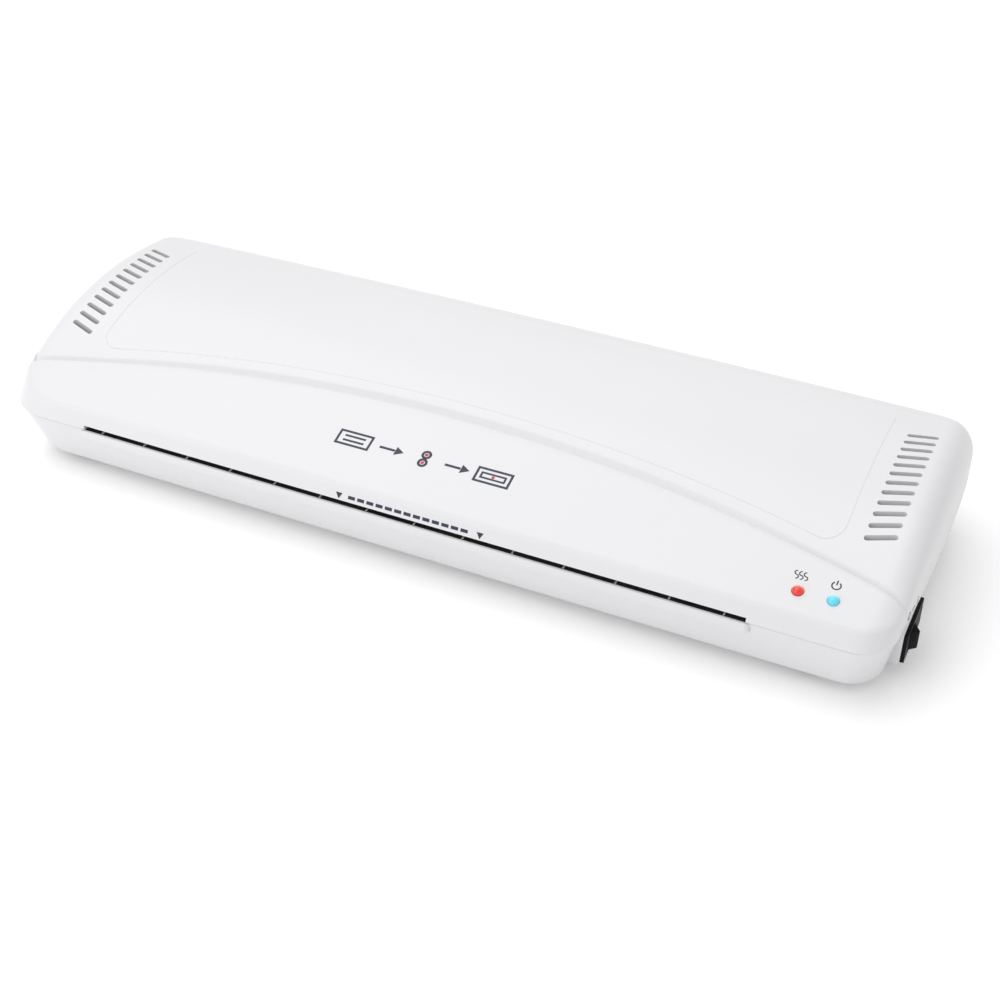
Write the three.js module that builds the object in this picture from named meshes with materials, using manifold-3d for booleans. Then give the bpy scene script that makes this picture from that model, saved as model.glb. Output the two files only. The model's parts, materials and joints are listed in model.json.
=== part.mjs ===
// Desktop A3 pouch laminator: two white casing shells around a steel chassis that holds a pair of
// heater plates, a pair of silicone rollers, their gear train and a gear motor.
// Millimetres. +X runs to the switch end, -Y is the feed side, +Z is up, and the feet stand on z = 0.
import * as THREE from "three";
import { mergeVertices } from "three/addons/utils/BufferGeometryUtils.js";
import Module from "manifold-3d";

const wasm = await Module();
wasm.setup();

// ---- Driving dimensions -------------------------------------------------------------------------

const GAP = 0.3; // clearance between pieces that touch

const FOOT_H = 4;
const PART_Z = 31; // height of the joint between the two shells
const HALF_LENGTH = 229;
const FRONT_Y = -83;
const REAR_Y = 83.9;
const WALL = 2.4;

// Top cover.
const DECK_FRONT_Z = 41; // deck height at its front crease
const DECK_FRONT_Y = FRONT_Y + 4;
const DECK_SLOPE = 0.3;
const GROOVE_Y = -28; // styling groove at mid-length
const GROOVE_RADIUS = 845;
const GROOVE_DEPTH = 1.1;
const GROOVE_HALF = 1.5;
const REAR_ROLL_Y = 53.5; // where the hump starts to roll down to the rear
const REAR_ROLL_Z = 33;
const REAR_BOW = 5.5; // how much further back the rear is at mid-length than at the ends
const END_ROLL = 12; // length over which the top rolls down at each end
const END_ROLL_SHARE = 0.45; // share of the height lost in that roll
const END_BOW = 0.0105; // how much the ends bulge in plan
const FRONT_CORNER_LEFT = 22;
const DECK_CORNER_LEFT = 32; // the left front corner leans in towards the deck
const FRONT_CORNER_RIGHT = 15;
const REAR_CORNER = 22;

// Bottom casing.
const LOWER_STEP = 0.8; // the lower shell stands in from the upper one by this much
const FRONT_TAPER = 9;
const END_TAPER = 5;
const FLOOR_Z = FOOT_H + WALL;

// Paper path.
const NIP_Z = 32.1;
const SLOT_LEFT = -174.8;
const SLOT_RIGHT = 165.2;
const SLOT_LENGTH = SLOT_RIGHT - SLOT_LEFT;
const SLOT_BOTTOM = 30.6;
const SLOT_TOP = 33.4;
const GUIDE_RIBS = 14;

// Vents.
const VENTS = 12;
const VENT_X = 207;
const VENT_REAR_Y = 35.5;
const VENT_PITCH = 6.4;
const VENT_LENGTH = 14.2;
const VENT_WIDTH = 2.6;
const VENT_TILT = THREE.MathUtils.degToRad(15.9);

// Chassis.
const FRAME_THICK = 1.5;
const FRAME_LEFT = SLOT_LEFT - 6; // inner faces of the side frames
const FRAME_RIGHT = SLOT_RIGHT + 6;
const TIE_R = 4;
const TIES = { front: [-56, 15], rear: [42, 47] };

// Rollers and gears.
const MODULE = 1;
const ROLLER_TEETH = 24;
const IDLER_TEETH = 20;
const PINION_TEETH = 12;
const ROLLER_Y = 8;
const ROLLER_R = 11.8;
const CORE_R = 7;
const JOURNAL_R = 3;
const GEAR_X = FRAME_RIGHT + FRAME_THICK + 4;
const GEAR_WIDTH = 6;
const LOWER_ROLLER_Z = NIP_Z - (MODULE * ROLLER_TEETH) / 2;
const UPPER_ROLLER_Z = NIP_Z + (MODULE * ROLLER_TEETH) / 2;
const TRAIN_ANGLE = THREE.MathUtils.degToRad(15); // rise of the gear train towards the motor
const BUSH_R = 6;

// Gear motor.
const BRACKET_THICK = 1.5;
const BRACKET_X = GEAR_X + GEAR_WIDTH + 4;
const BRACKET_PILLARS = [[30, 50], [46, 12]];
const GEARBOX_X = BRACKET_X + BRACKET_THICK + GAP;
const GEARBOX_R = 15.5;
const GEARBOX_DEPTH = 12;

// Heaters.
const HEATER_FRONT = -54;
const HEATER_REAR = -8;
const HEATER_GAP = 3.4; // between the two heater plates
const PLATE_THICK = 3;
const ELEMENT_THICK = 1.5;
const ELEMENT_TOP = NIP_Z + HEATER_GAP / 2 + PLATE_THICK + GAP + ELEMENT_THICK;

// Control board.
const BOARD_Z = 33.5;
const BOARD_THICK = 1.6;
const BOARD_POSTS = [[181, -71], [197, -74], [181, -54.5]];

// Switch and lamps.
const SWITCH_Y = -36.5;
const SWITCH_Z = 15;
const SWITCH_FACE = 226.3;
const BODY_HALF_Y = 12.5;
const BODY_HALF_Z = 6;
const BEZEL_HALF_Y = 16;
const BEZEL_HALF_Z = 7.4;
const WELL_HALF_Y = 11.7;
const WELL_HALF_Z = 5.2;
const ROCKER_TILT = THREE.MathUtils.degToRad(11);
const ROCKER_PIVOT_X = 224.8;
const ROCKER_REACH = 231.4; // how far out the rocker's raised end stands
const LAMP_Y = -68.8;
const LAMPS = { heat_lamp_red: 182.2, power_lamp_blue: 197.4 };

const FEET_AT = [
  [-190, -58],
  [190, -58],
  [-190, 61],
  [190, 61],
];
const GLAND_X = 184; // the cord leaves through the rear wall here
const GLAND_Z = 17;
const GLAND_R = 6.3;
const GLAND_IN = 15.4; // from the rear of the cover to the gland's inner end

const CASING_SCREWS_AT = [
  [-206, -57],
  [206, -61],
  [-206, 63],
  [205, 67.5],
];

// ---- Materials ----------------------------------------------------------------------------------

function look(color, roughness, metalness) {
  return new THREE.MeshStandardMaterial({ color, roughness, metalness });
}
const whitePlastic = () => look(0xf0f0f2, 0.38, 0);
const blackPlastic = () => look(0x17171a, 0.45, 0);
const steel = () => look(0xb4b7ba, 0.35, 1);
const aluminium = () => look(0xc9cbcd, 0.4, 1);
const brass = () => look(0xc9a24a, 0.35, 1);
const silicone = () => look(0xb0492f, 0.7, 0);
const rubber = () => look(0x2a2a2b, 0.85, 0);
const nylon = () => look(0xe6e0cf, 0.5, 0);

// ---- Solids -------------------------------------------------------------------------------------

function toSolid(geometry) {
  const plain = geometry.clone();
  plain.deleteAttribute("normal");
  plain.deleteAttribute("uv");
  const merged = mergeVertices(plain, 1e-4);
  return new wasm.Manifold(
    new wasm.Mesh({
      numProp: 3,
      vertProperties: new Float32Array(merged.attributes.position.array),
      triVerts: new Uint32Array(merged.index.array),
    }),
  );
}

function toGeometry(solid) {
  const mesh = solid.getMesh();
  const positions = new Float32Array(mesh.numVert * 3);
  for (let i = 0; i < mesh.numVert; i++) {
    const start = i * mesh.numProp;
    positions.set(mesh.vertProperties.subarray(start, start + 3), i * 3);
  }
  const geometry = new THREE.BufferGeometry();
  geometry.setAttribute("position", new THREE.BufferAttribute(positions, 3));
  geometry.setIndex(new THREE.BufferAttribute(mesh.triVerts, 1));
  return geometry;
}

const join = (...solids) => solids.reduce((all, one) => all.add(one));
const cut = (solid, ...tools) => tools.reduce((left, tool) => left.subtract(tool), solid);

// A box between two opposite corners.
function block(low, high) {
  const size = high.map((value, i) => value - low[i]);
  const middle = high.map((value, i) => (value + low[i]) / 2);
  return toSolid(new THREE.BoxGeometry(...size).translate(...middle));
}

// A cylinder along "x", "y" or "z" that starts at `base` and runs `length` up that axis.
function rod(axis, base, radius, length, sides = 24) {
  const geometry = new THREE.CylinderGeometry(radius, radius, length, sides);
  geometry.translate(0, length / 2, 0);
  if (axis === "x") geometry.rotateZ(-Math.PI / 2);
  if (axis === "z") geometry.rotateX(Math.PI / 2);
  return toSolid(geometry.translate(...base));
}

// A turned piece: the profile holds [radius, height] points and starts and ends on the axis or closes.
function turned(axis, base, profile, sides = 24) {
  const points = profile.map(([radius, height]) => new THREE.Vector2(radius, height));
  const geometry = new THREE.LatheGeometry(points, sides);
  if (axis === "x") geometry.rotateZ(-Math.PI / 2);
  if (axis === "z") geometry.rotateX(Math.PI / 2);
  return toSolid(geometry.translate(...base));
}

// A prism along +X from x0 to x1, with its outline in (y, z).
function bar(outline, x0, x1) {
  const shape = new THREE.Shape(outline.map(([y, z]) => new THREE.Vector2(y, z)));
  const geometry = new THREE.ExtrudeGeometry(shape, { depth: x1 - x0, bevelEnabled: false });
  geometry.applyMatrix4(new THREE.Matrix4().set(0, 0, 1, x0, 1, 0, 0, 0, 0, 1, 0, 0, 0, 0, 0, 1));
  return toSolid(geometry);
}

// A closed solid through rings of points that all have the same count; the ends close on their middle.
function loft(rings) {
  const count = rings[0].length;
  const positions = rings.flat(2);
  const index = [];
  for (let r = 0; r + 1 < rings.length; r++) {
    for (let i = 0; i < count; i++) {
      const a = r * count + i;
      const b = r * count + ((i + 1) % count);
      index.push(a, b, b + count, a, b + count, a + count);
    }
  }
  for (const [r, flip] of [[0, true], [rings.length - 1, false]]) {
    const centre = positions.length / 3;
    for (let k = 0; k < 3; k++) {
      const sum = rings[r].reduce((total, point) => total + point[k], 0);
      positions.push(sum / count);
    }
    for (let i = 0; i < count; i++) {
      const a = r * count + i;
      const b = r * count + ((i + 1) % count);
      index.push(...(flip ? [b, a, centre] : [a, b, centre]));
    }
  }
  const geometry = new THREE.BufferGeometry();
  geometry.setAttribute("position", new THREE.Float32BufferAttribute(positions, 3));
  geometry.setIndex(index);
  const solid = toSolid(geometry);
  if (solid.volume() > 0) return solid;
  geometry.setIndex(index.reverse());
  return toSolid(geometry);
}

// ---- Casing surfaces ----------------------------------------------------------------------------

// How far a rounded corner of this radius has fallen back, `into` millimetres into the rounding.
function fallBack(radius, into) {
  return radius - Math.sqrt(Math.max(0, radius ** 2 - Math.max(0, into) ** 2));
}

const bowEnd = ([x, y, z]) => [x * (1 - END_BOW * ((y - 12.5) / 70) ** 2), y, z];
const deckZ = (y) => DECK_FRONT_Z + DECK_SLOPE * (y - DECK_FRONT_Y);
const grooveY = (x) => GROOVE_Y - (GROOVE_RADIUS - Math.sqrt(GROOVE_RADIUS ** 2 - x ** 2));

// The hump's height: a gentle crest a little behind the middle.
function humpZ(y) {
  const t = (y + 7.5) / 50;
  return 63.3 + 8.5 * t - 8.5 * t ** 2 + 1.1 * t ** 3;
}

function frontEdge(x, halfLength) {
  const radius = x < 0 ? FRONT_CORNER_LEFT : FRONT_CORNER_RIGHT;
  return FRONT_Y + fallBack(radius, Math.abs(x) - halfLength + radius);
}

function rearEdge(x, halfLength) {
  const bow = REAR_BOW * (x / halfLength) ** 2;
  return REAR_Y - bow - fallBack(REAR_CORNER, Math.abs(x) - halfLength + REAR_CORNER);
}

// One cross-section of the cover at `x`, standing in by `inset` and ending at height `base`.
function coverSection(x, inset, base) {
  const halfLength = HALF_LENGTH - inset;
  const front = frontEdge(x, halfLength) + inset;
  const rear = rearEdge(x, halfLength) - inset;
  const groove = grooveY(x);
  const into = Math.max(0, Math.abs(x) - halfLength + END_ROLL) / END_ROLL;
  const keep = 1 - END_ROLL_SHARE * (1 - Math.sqrt(1 - Math.min(1, into) ** 2));
  const lower = (z) => PART_Z + (z - PART_Z) * keep - inset;
  const lean = x < 0 ? fallBack(DECK_CORNER_LEFT, -x - halfLength + DECK_CORNER_LEFT) : 0;
  const deckFront = Math.max(front, FRONT_Y + inset + lean);
  const crease = deckZ(deckFront + 4);
  const depth = inset ? 0 : GROOVE_DEPTH;
  const start = Math.max(groove, deckFront + 9);
  const points = [
    [front, base],
    [deckFront + 3.3, lower(crease - 1.4)],
    [deckFront + 4.1, lower(crease - 0.4)],
    [deckFront + 5.6, lower(deckZ(deckFront + 5.6))],
    [start - GROOVE_HALF, lower(deckZ(start - GROOVE_HALF))],
    [start, lower(deckZ(start) - depth)],
  ];
  const humpStart = start + GROOVE_HALF;
  points.push([humpStart, lower(Math.max(humpZ(humpStart), deckZ(humpStart)))]);
  for (const share of [0.12, 0.3, 0.5, 0.75]) {
    const y = humpStart + share * (REAR_ROLL_Y - humpStart);
    points.push([y, lower(humpZ(y))]);
  }
  const roll = humpZ(REAR_ROLL_Y) - REAR_ROLL_Z;
  for (let step = 0; step <= 6; step++) {
    const angle = (step / 6) * (Math.PI / 2);
    const y = REAR_ROLL_Y + (rear - REAR_ROLL_Y) * Math.sin(angle);
    points.push([y, Math.max(lower(REAR_ROLL_Z + roll * Math.cos(angle)), base + 0.5)]);
  }
  for (let step = 0; step < 4; step++) {
    points.push([THREE.MathUtils.lerp(rear, front, step / 4), base]);
  }
  return points.map(([y, z]) => bowEnd([x, y, z]));
}

// Stations along the length, close together in the rounded ends.
function stations(halfLength, middle, ends) {
  const reach = FRONT_CORNER_LEFT;
  const list = [];
  for (let step = 0; step <= ends; step++) {
    list.push(halfLength - reach + reach * Math.sin((step / ends) * (Math.PI / 2)));
  }
  const mirrored = list.map((x) => -x).reverse();
  for (let step = 1; step < middle; step++) {
    mirrored.push(THREE.MathUtils.lerp(-list[0], list[0], step / middle));
  }
  return [...mirrored, ...list];
}

function coverSolid(inset, base, middle, ends) {
  const rings = stations(HALF_LENGTH - inset, middle, ends).map((x) => coverSection(x, inset, base));
  return loft(rings);
}

// One level of the bottom casing: a rounded outline at height z, standing in by `inset`.
function lowerRing(z, inset) {
  const share = Math.max(0, PART_Z - z) / (PART_Z - FOOT_H);
  const edge = fallBack(3, 3 - (z - FOOT_H - inset)) + LOWER_STEP + inset;
  const halfLength = HALF_LENGTH - edge - END_TAPER * share;
  const front = FRONT_Y + edge + FRONT_TAPER * share ** 1.2;
  const rear = REAR_Y - REAR_BOW - edge - 6 * share;
  const corners = [
    [halfLength, rear, REAR_CORNER, 0],
    [-halfLength, rear, REAR_CORNER, 1],
    [-halfLength, front, FRONT_CORNER_LEFT, 2],
    [halfLength, front, FRONT_CORNER_RIGHT, 3],
  ];
  const ring = [];
  for (const [x, y, radius, quarter] of corners) {
    for (let step = 0; step <= 4; step++) {
      const angle = ((quarter + step / 4) * Math.PI) / 2;
      const cx = x - Math.sign(x) * radius;
      const cy = y - Math.sign(y) * radius;
      ring.push(bowEnd([cx + radius * Math.cos(angle), cy + radius * Math.sin(angle), z]));
    }
    if (quarter === 0) {
      for (const share of [0.6, 0.3, 0, -0.3, -0.6]) {
        ring.push([share * halfLength, rear + REAR_BOW * (1 - share ** 2), z]);
      }
    }
    if (quarter === 1) for (const side of [30, 0, -30]) ring.push(bowEnd([-halfLength, side, z]));
    if (quarter === 3) for (const side of [-30, 0, 30]) ring.push(bowEnd([halfLength, side, z]));
  }
  return ring;
}

const lowerSolid = (levels, inset) => loft(levels.map((z) => lowerRing(z, inset)));

// ---- Casing pieces ------------------------------------------------------------------------------

// A slot with rounded ends that runs through the cover, longest along X before it is tilted.
function ventTool(side, row) {
  const half = (VENT_LENGTH - VENT_WIDTH) / 2;
  const shape = new THREE.Shape();
  shape.absarc(half, 0, VENT_WIDTH / 2, -Math.PI / 2, Math.PI / 2, false);
  shape.absarc(-half, 0, VENT_WIDTH / 2, Math.PI / 2, (3 * Math.PI) / 2, false);
  const geometry = new THREE.ExtrudeGeometry(shape, { depth: 40, bevelEnabled: false, curveSegments: 2 });
  geometry.rotateZ(side * VENT_TILT);
  geometry.translate(side * VENT_X, VENT_REAR_Y - VENT_PITCH * row, PART_Z + 6);
  return toSolid(geometry);
}

function slotTool(low, high, y0, y1) {
  return block([SLOT_LEFT, y0, low], [SLOT_RIGHT, y1, high]);
}

// An upright post from z0 to z1.
const post = ([x, y], radius, z0, z1) => rod("z", [x, y, z0], radius, z1 - z0, 12);

function topCover() {
  const outer = coverSolid(0, PART_Z + GAP / 2, 8, 6);
  const inner = coverSolid(WALL, PART_Z - 2, 6, 4);
  let shell = cut(outer, inner);
  for (const at of CASING_SCREWS_AT) {
    const pillar = outer.intersect(rod("z", [...at, PART_Z + GAP / 2], 4, 40, 16));
    shell = cut(shell.add(pillar), rod("z", [...at, 0], 1.8, PART_Z + 9, 12));
  }
  for (const side of [-1, 1]) {
    for (let row = 0; row < VENTS; row++) shell = cut(shell, ventTool(side, row));
  }
  for (const x of Object.values(LAMPS)) {
    shell = cut(shell, rod("z", [x, LAMP_Y, PART_Z + 4], 2.9, 20, 16));
  }
  shell = cut(shell, slotTool(PART_Z - 1, SLOT_TOP, FRONT_Y - 4, FRONT_Y + 9));
  return cut(shell, slotTool(PART_Z - 1, SLOT_TOP + 1, REAR_Y - 16, REAR_Y + 4));
}

function bottomCasing() {
  const rim = PART_Z - GAP / 2;
  const outer = lowerSolid([FOOT_H, FOOT_H + 0.8, FOOT_H + 3, 16, rim], 0);
  const inner = lowerSolid([FLOOR_Z, FLOOR_Z + 3, PART_Z + 1], WALL);
  let shell = cut(outer, inner);
  // The ledge under the feed slot.
  const ledge = bar(
    [
      [FRONT_Y + 0.4, SLOT_BOTTOM],
      [FRONT_Y - 0.4, SLOT_BOTTOM - 0.5],
      [FRONT_Y - 0.7, SLOT_BOTTOM - 2],
      [FRONT_Y + 0.3, SLOT_BOTTOM - 5.5],
      [FRONT_Y + 3, SLOT_BOTTOM - 7],
      [FRONT_Y + 3.2, SLOT_BOTTOM],
    ],
    SLOT_LEFT - 3,
    SLOT_RIGHT + 3,
  );
  // The pad that carries the switch.
  const pad = block([SWITCH_FACE - 7, SWITCH_Y - 20, 6.8], [SWITCH_FACE, SWITCH_Y + 18, 24.5]);
  shell = join(shell, ledge, pad);
  for (const at of CASING_SCREWS_AT) {
    shell = shell.add(outer.intersect(post(at, 5.2, FOOT_H + 1, rim)));
    shell = cut(shell, rod("z", [...at, 0], 1.9, 40, 12), rod("z", [...at, 0], 4, 8.4, 16));
  }
  for (const [x, y] of frameScrewPlaces()) {
    shell = shell.add(post([x, y], 4, FOOT_H + 1, 9 - GAP));
    shell = cut(shell, rod("z", [x, y, 5.2], 1.5, 8, 12));
  }
  for (const [x, y] of BOARD_POSTS) {
    shell = shell.add(post([x, y], 2.6, FLOOR_Z - 1, BOARD_Z - GAP));
  }
  for (const [x, y] of FEET_AT) shell = cut(shell, rod("z", [x, y, 0], 3.2, 10, 12));
  const clearY = [SWITCH_Y - BODY_HALF_Y - 0.4, SWITCH_Y + BODY_HALF_Y + 0.4];
  const clearZ = [SWITCH_Z - BODY_HALF_Z - 0.4, SWITCH_Z + BODY_HALF_Z + 0.4];
  shell = cut(
    shell,
    block([SWITCH_FACE - 12, clearY[0], clearZ[0]], [SWITCH_FACE + 4, clearY[1], clearZ[1]]),
    slotTool(SLOT_BOTTOM, PART_Z + 1, FRONT_Y - 4, FRONT_Y + 9),
    slotTool(SLOT_BOTTOM - 1, PART_Z + 1, REAR_Y - 16, REAR_Y + 4),
    rod("y", [GLAND_X, REAR_Y - 20, GLAND_Z], GLAND_R, 30, 20),
  );
  for (const side of [-1, 1]) {
    for (let row = 0; row < 6; row++) {
      const y = -38 + row * 12;
      shell = cut(shell, block([side * 100 - 34, y, 0], [side * 100 + 34, y + 3, FLOOR_Z + 1]));
    }
  }
  return shell;
}

function cordGland() {
  const y = REAR_Y - GLAND_IN;
  const profile = [[3.4, 0], [7.5, 0], [7.5, 2.6], [6, 2.6], [6, 9.5], [5.2, 13], [3.4, 13], [3.4, 0]];
  return turned("y", [GLAND_X, y, GLAND_Z], profile, 20);
}

function frameScrewPlaces() {
  return [FRAME_LEFT - 8, FRAME_RIGHT + 9.5].flatMap((x) => [[x, -44], [x, 34]]);
}

// A pan-head screw whose head is at `z` with its shank going up (+1) or down (-1).
function screw([x, y], z, headR, headH, shankR, shankL, way) {
  const tip = headH + shankL;
  const points = [[0, 0], [headR, 0], [headR, headH], [shankR, headH], [shankR, tip], [0, tip]];
  const solid = turned("z", [0, 0, 0], points, 16);
  return solid.rotate([way > 0 ? 0 : 180, 0, 0]).translate([x, y, z]);
}

function foot([x, y]) {
  const shoulder = FOOT_H - GAP;
  const tip = FOOT_H + 4.5;
  const profile = [[0, 0], [7, 0], [8, 0.8], [8, shoulder], [2.9, shoulder], [2.9, tip], [0, tip]];
  return turned("z", [x, y, 0], profile, 20);
}

// ---- Paper guides -------------------------------------------------------------------------------

// Sheets that the pouch slides along, with low ribs in the feed direction.
function guide(y0, y1, z0, z1, ribTop) {
  const sheet = block([SLOT_LEFT + 1, y0, z0], [SLOT_RIGHT - 1, y1, z1]);
  let solid = sheet;
  const pitch = (SLOT_LENGTH - 20) / (GUIDE_RIBS - 1);
  const [low, high] = ribTop > z1 ? [z1 - 0.5, ribTop] : [ribTop, z0 + 0.5];
  for (let i = 0; i < GUIDE_RIBS; i++) {
    const x = SLOT_LEFT + 10 + i * pitch;
    solid = solid.add(block([x - 0.5, y0 + 0.2, low], [x + 0.5, y1 - 0.2, high]));
  }
  return solid;
}

// ---- Chassis ------------------------------------------------------------------------------------

// A side frame with its foot flange turned outwards; `side` is -1 on the left and 1 on the right.
function sideFrame(side) {
  const inside = side < 0 ? FRAME_LEFT : FRAME_RIGHT;
  const x0 = side < 0 ? inside - FRAME_THICK : inside;
  const x1 = x0 + FRAME_THICK;
  const outline = [[-62, 9], [50, 9], [50, 52], [34, 60.2], [-6, 60.2], [-40, 46], [-62, 38]];
  const plate = bar(outline, x0, x1);
  const flangeOut = side < 0 ? [x0 - 13, x0 + 0.5] : [x1 - 0.5, x1 + 14];
  let solid = plate;
  for (const [, y] of frameScrewPlaces().slice(0, 2)) {
    solid = solid.add(block([flangeOut[0], y - 7, 9], [flangeOut[1], y + 7, 9 + FRAME_THICK]));
  }
  for (const [x, y] of frameScrewPlaces()) solid = cut(solid, rod("z", [x, y, 5], 1.8, 8, 12));
  const slotHalf = BUSH_R + GAP;
  solid = cut(
    solid,
    rod("x", [x0 - 1, ROLLER_Y, LOWER_ROLLER_Z], slotHalf, FRAME_THICK + 2, 24),
    rod("x", [x0 - 1, ROLLER_Y, UPPER_ROLLER_Z], slotHalf, FRAME_THICK + 2, 24),
    block([x0 - 1, ROLLER_Y - slotHalf, UPPER_ROLLER_Z], [x1 + 1, ROLLER_Y + slotHalf, 57.6]),
  );
  for (const [y, z] of Object.values(TIES)) {
    solid = cut(solid, rod("x", [x0 - 1, y, z], 2.5, FRAME_THICK + 2, 16));
  }
  if (side > 0) {
    for (const [y, z] of BRACKET_PILLARS) solid = cut(solid, rod("x", [x0 - 1, y, z], 1.6, 4, 12));
    solid = cut(solid, rod("x", [x0 - 1, IDLER_AT[0], IDLER_AT[1]], 2.3, 4, 16));
  }
  return solid;
}

// A tie bar with turned-down ends that pass through both side frames.
function tieBar([y, z]) {
  const body = rod("x", [FRAME_LEFT + GAP, y, z], TIE_R, FRAME_RIGHT - FRAME_LEFT - 2 * GAP, 16);
  const end = FRAME_THICK + 5;
  const core = rod("x", [FRAME_LEFT - end, y, z], 2.2, FRAME_RIGHT - FRAME_LEFT + 2 * end, 16);
  return join(body, core);
}

function tieNut([y, z], side) {
  const outside = side < 0 ? FRAME_LEFT - FRAME_THICK - GAP - 3 : FRAME_RIGHT + FRAME_THICK + GAP;
  return cut(rod("x", [outside, y, z], 4.2, 3, 6), rod("x", [outside - 1, y, z], 2.5, 5, 16));
}

// A flanged bush for a roller journal, its flange on the inner face of the side frame.
function bush(z, side) {
  const x = side < 0 ? FRAME_LEFT + GAP + 1.6 : FRAME_RIGHT - GAP - 1.6;
  const bore = JOURNAL_R + GAP;
  const profile = [[bore, 0], [7.5, 0], [7.5, 1.6], [BUSH_R, 1.6], [BUSH_R, 5], [bore, 5], [bore, 0]];
  return turned("x", [0, 0, 0], profile, 24).rotate([0, side < 0 ? 180 : 0, 0]).translate([x, ROLLER_Y, z]);
}

// A compression spring that stands between an upper bush and the top of its slot in the frame.
function spring(side) {
  const x = side < 0 ? FRAME_LEFT - 2.2 : FRAME_RIGHT + 2.2;
  const coil = 1.8;
  const wire = 0.4;
  const low = UPPER_ROLLER_Z + BUSH_R + GAP + wire;
  const high = 57.6 - GAP - wire;
  const turns = 3;
  const steps = 24;
  const points = [];
  for (let step = 0; step <= steps; step++) {
    const share = step / steps;
    const angle = share * turns * 2 * Math.PI;
    const z = THREE.MathUtils.lerp(low, high, share);
    points.push(new THREE.Vector3(x + coil * Math.cos(angle), ROLLER_Y + coil * Math.sin(angle), z));
  }
  const section = new THREE.Shape().absarc(0, 0, wire, 0, 2 * Math.PI, false);
  const extrudePath = new THREE.CatmullRomCurve3(points);
  const options = { extrudePath, steps, curveSegments: 2, bevelEnabled: false };
  return toSolid(new THREE.ExtrudeGeometry(section, options));
}

// ---- Rollers and drive --------------------------------------------------------------------------

function rollerShaft(z) {
  const coreLeft = SLOT_LEFT - 1;
  const coreRight = SLOT_RIGHT + 1;
  const tipLeft = FRAME_LEFT - FRAME_THICK - 6;
  const tipRight = GEAR_X + GEAR_WIDTH + 3;
  const profile = [
    [0, tipLeft],
    [JOURNAL_R, tipLeft],
    [JOURNAL_R, coreLeft],
    [CORE_R, coreLeft],
    [CORE_R, coreRight],
    [JOURNAL_R, coreRight],
    [JOURNAL_R, tipRight],
    [0, tipRight],
  ];
  return turned("x", [0, ROLLER_Y, z], profile, 24);
}

function rollerSleeve(z) {
  const inner = CORE_R + GAP;
  const profile = [
    [inner, SLOT_LEFT],
    [ROLLER_R - 0.8, SLOT_LEFT],
    [ROLLER_R, SLOT_LEFT + 0.8],
    [ROLLER_R, SLOT_RIGHT - 0.8],
    [ROLLER_R - 0.8, SLOT_RIGHT],
    [inner, SLOT_RIGHT],
    [inner, SLOT_LEFT],
  ];
  return turned("x", [0, ROLLER_Y, z], profile, 36);
}

// An involute spur gear with its axis along X; `phase` is the direction of a tooth's middle.
function gear(teeth, phase, bore, hub) {
  const pitchR = (MODULE * teeth) / 2;
  const pressure = THREE.MathUtils.degToRad(20);
  const baseR = pitchR * Math.cos(pressure);
  const tipR = pitchR + 0.9 * MODULE;
  const rootR = pitchR - 1.2 * MODULE;
  const involute = (r) => {
    const slant = Math.acos(Math.min(1, baseR / r));
    return Math.tan(slant) - slant;
  };
  const halfPitch = (0.46 * Math.PI) / teeth;
  const half = (r) => halfPitch + involute(pitchR) - involute(Math.max(r, baseR));
  const outline = [];
  for (let tooth = 0; tooth < teeth; tooth++) {
    const middle = phase + (tooth / teeth) * 2 * Math.PI;
    const flank = [rootR, pitchR, tipR];
    for (const r of flank) outline.push([r, middle - half(r)]);
    for (const r of flank.reverse()) outline.push([r, middle + half(r)]);
  }
  const points = outline.map(([r, angle]) => [r * Math.cos(angle), r * Math.sin(angle)]);
  const wheel = bar(points, 0, GEAR_WIDTH);
  const boss = rod("x", [0, 0, 0], hub, GEAR_WIDTH + 1.5, 16);
  return cut(join(wheel, boss), rod("x", [-1, 0, 0], bore, GEAR_WIDTH + 4, 16));
}

// The tooth direction of a gear that meshes, in direction `way`, with one whose tooth points along `phase`.
function meshPhase(phase, teeth, nextTeeth, way) {
  const offset = (phase - way) * (teeth / nextTeeth);
  return way + Math.PI - offset + Math.PI / nextTeeth;
}

const along = ([y, z], distance, angle) => [y + distance * Math.cos(angle), z + distance * Math.sin(angle)];
const LOWER_AT = [ROLLER_Y, LOWER_ROLLER_Z];
const IDLER_AT = along(LOWER_AT, (MODULE * (ROLLER_TEETH + IDLER_TEETH)) / 2, TRAIN_ANGLE);
const PINION_AT = along(IDLER_AT, (MODULE * (IDLER_TEETH + PINION_TEETH)) / 2, TRAIN_ANGLE);
const LOWER_PHASE = Math.PI / 2;
const UPPER_PHASE = meshPhase(LOWER_PHASE, ROLLER_TEETH, ROLLER_TEETH, Math.PI / 2);
const IDLER_PHASE = meshPhase(LOWER_PHASE, ROLLER_TEETH, IDLER_TEETH, TRAIN_ANGLE);
const PINION_PHASE = meshPhase(IDLER_PHASE, IDLER_TEETH, PINION_TEETH, TRAIN_ANGLE);

// The steel plate that carries the gear motor, on two pillars that stand on the right side frame.
function motorBracket() {
  const outline = [[22, 46], [24, 56], [38, 56], [62, 42], [62, 18], [54, 7.5], [38, 7.5], [32, 18]];
  let solid = bar(outline, BRACKET_X, BRACKET_X + BRACKET_THICK);
  const pillarFrom = FRAME_RIGHT + FRAME_THICK + GAP;
  for (const [y, z] of BRACKET_PILLARS) {
    solid = join(
      solid,
      rod("x", [pillarFrom, y, z], 3, BRACKET_X - pillarFrom + 0.5, 12),
      rod("x", [FRAME_RIGHT - 1, y, z], 1.3, 6, 12),
    );
  }
  return cut(solid, rod("x", [BRACKET_X - 1, ...PINION_AT], 5, 4, 20));
}

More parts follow.
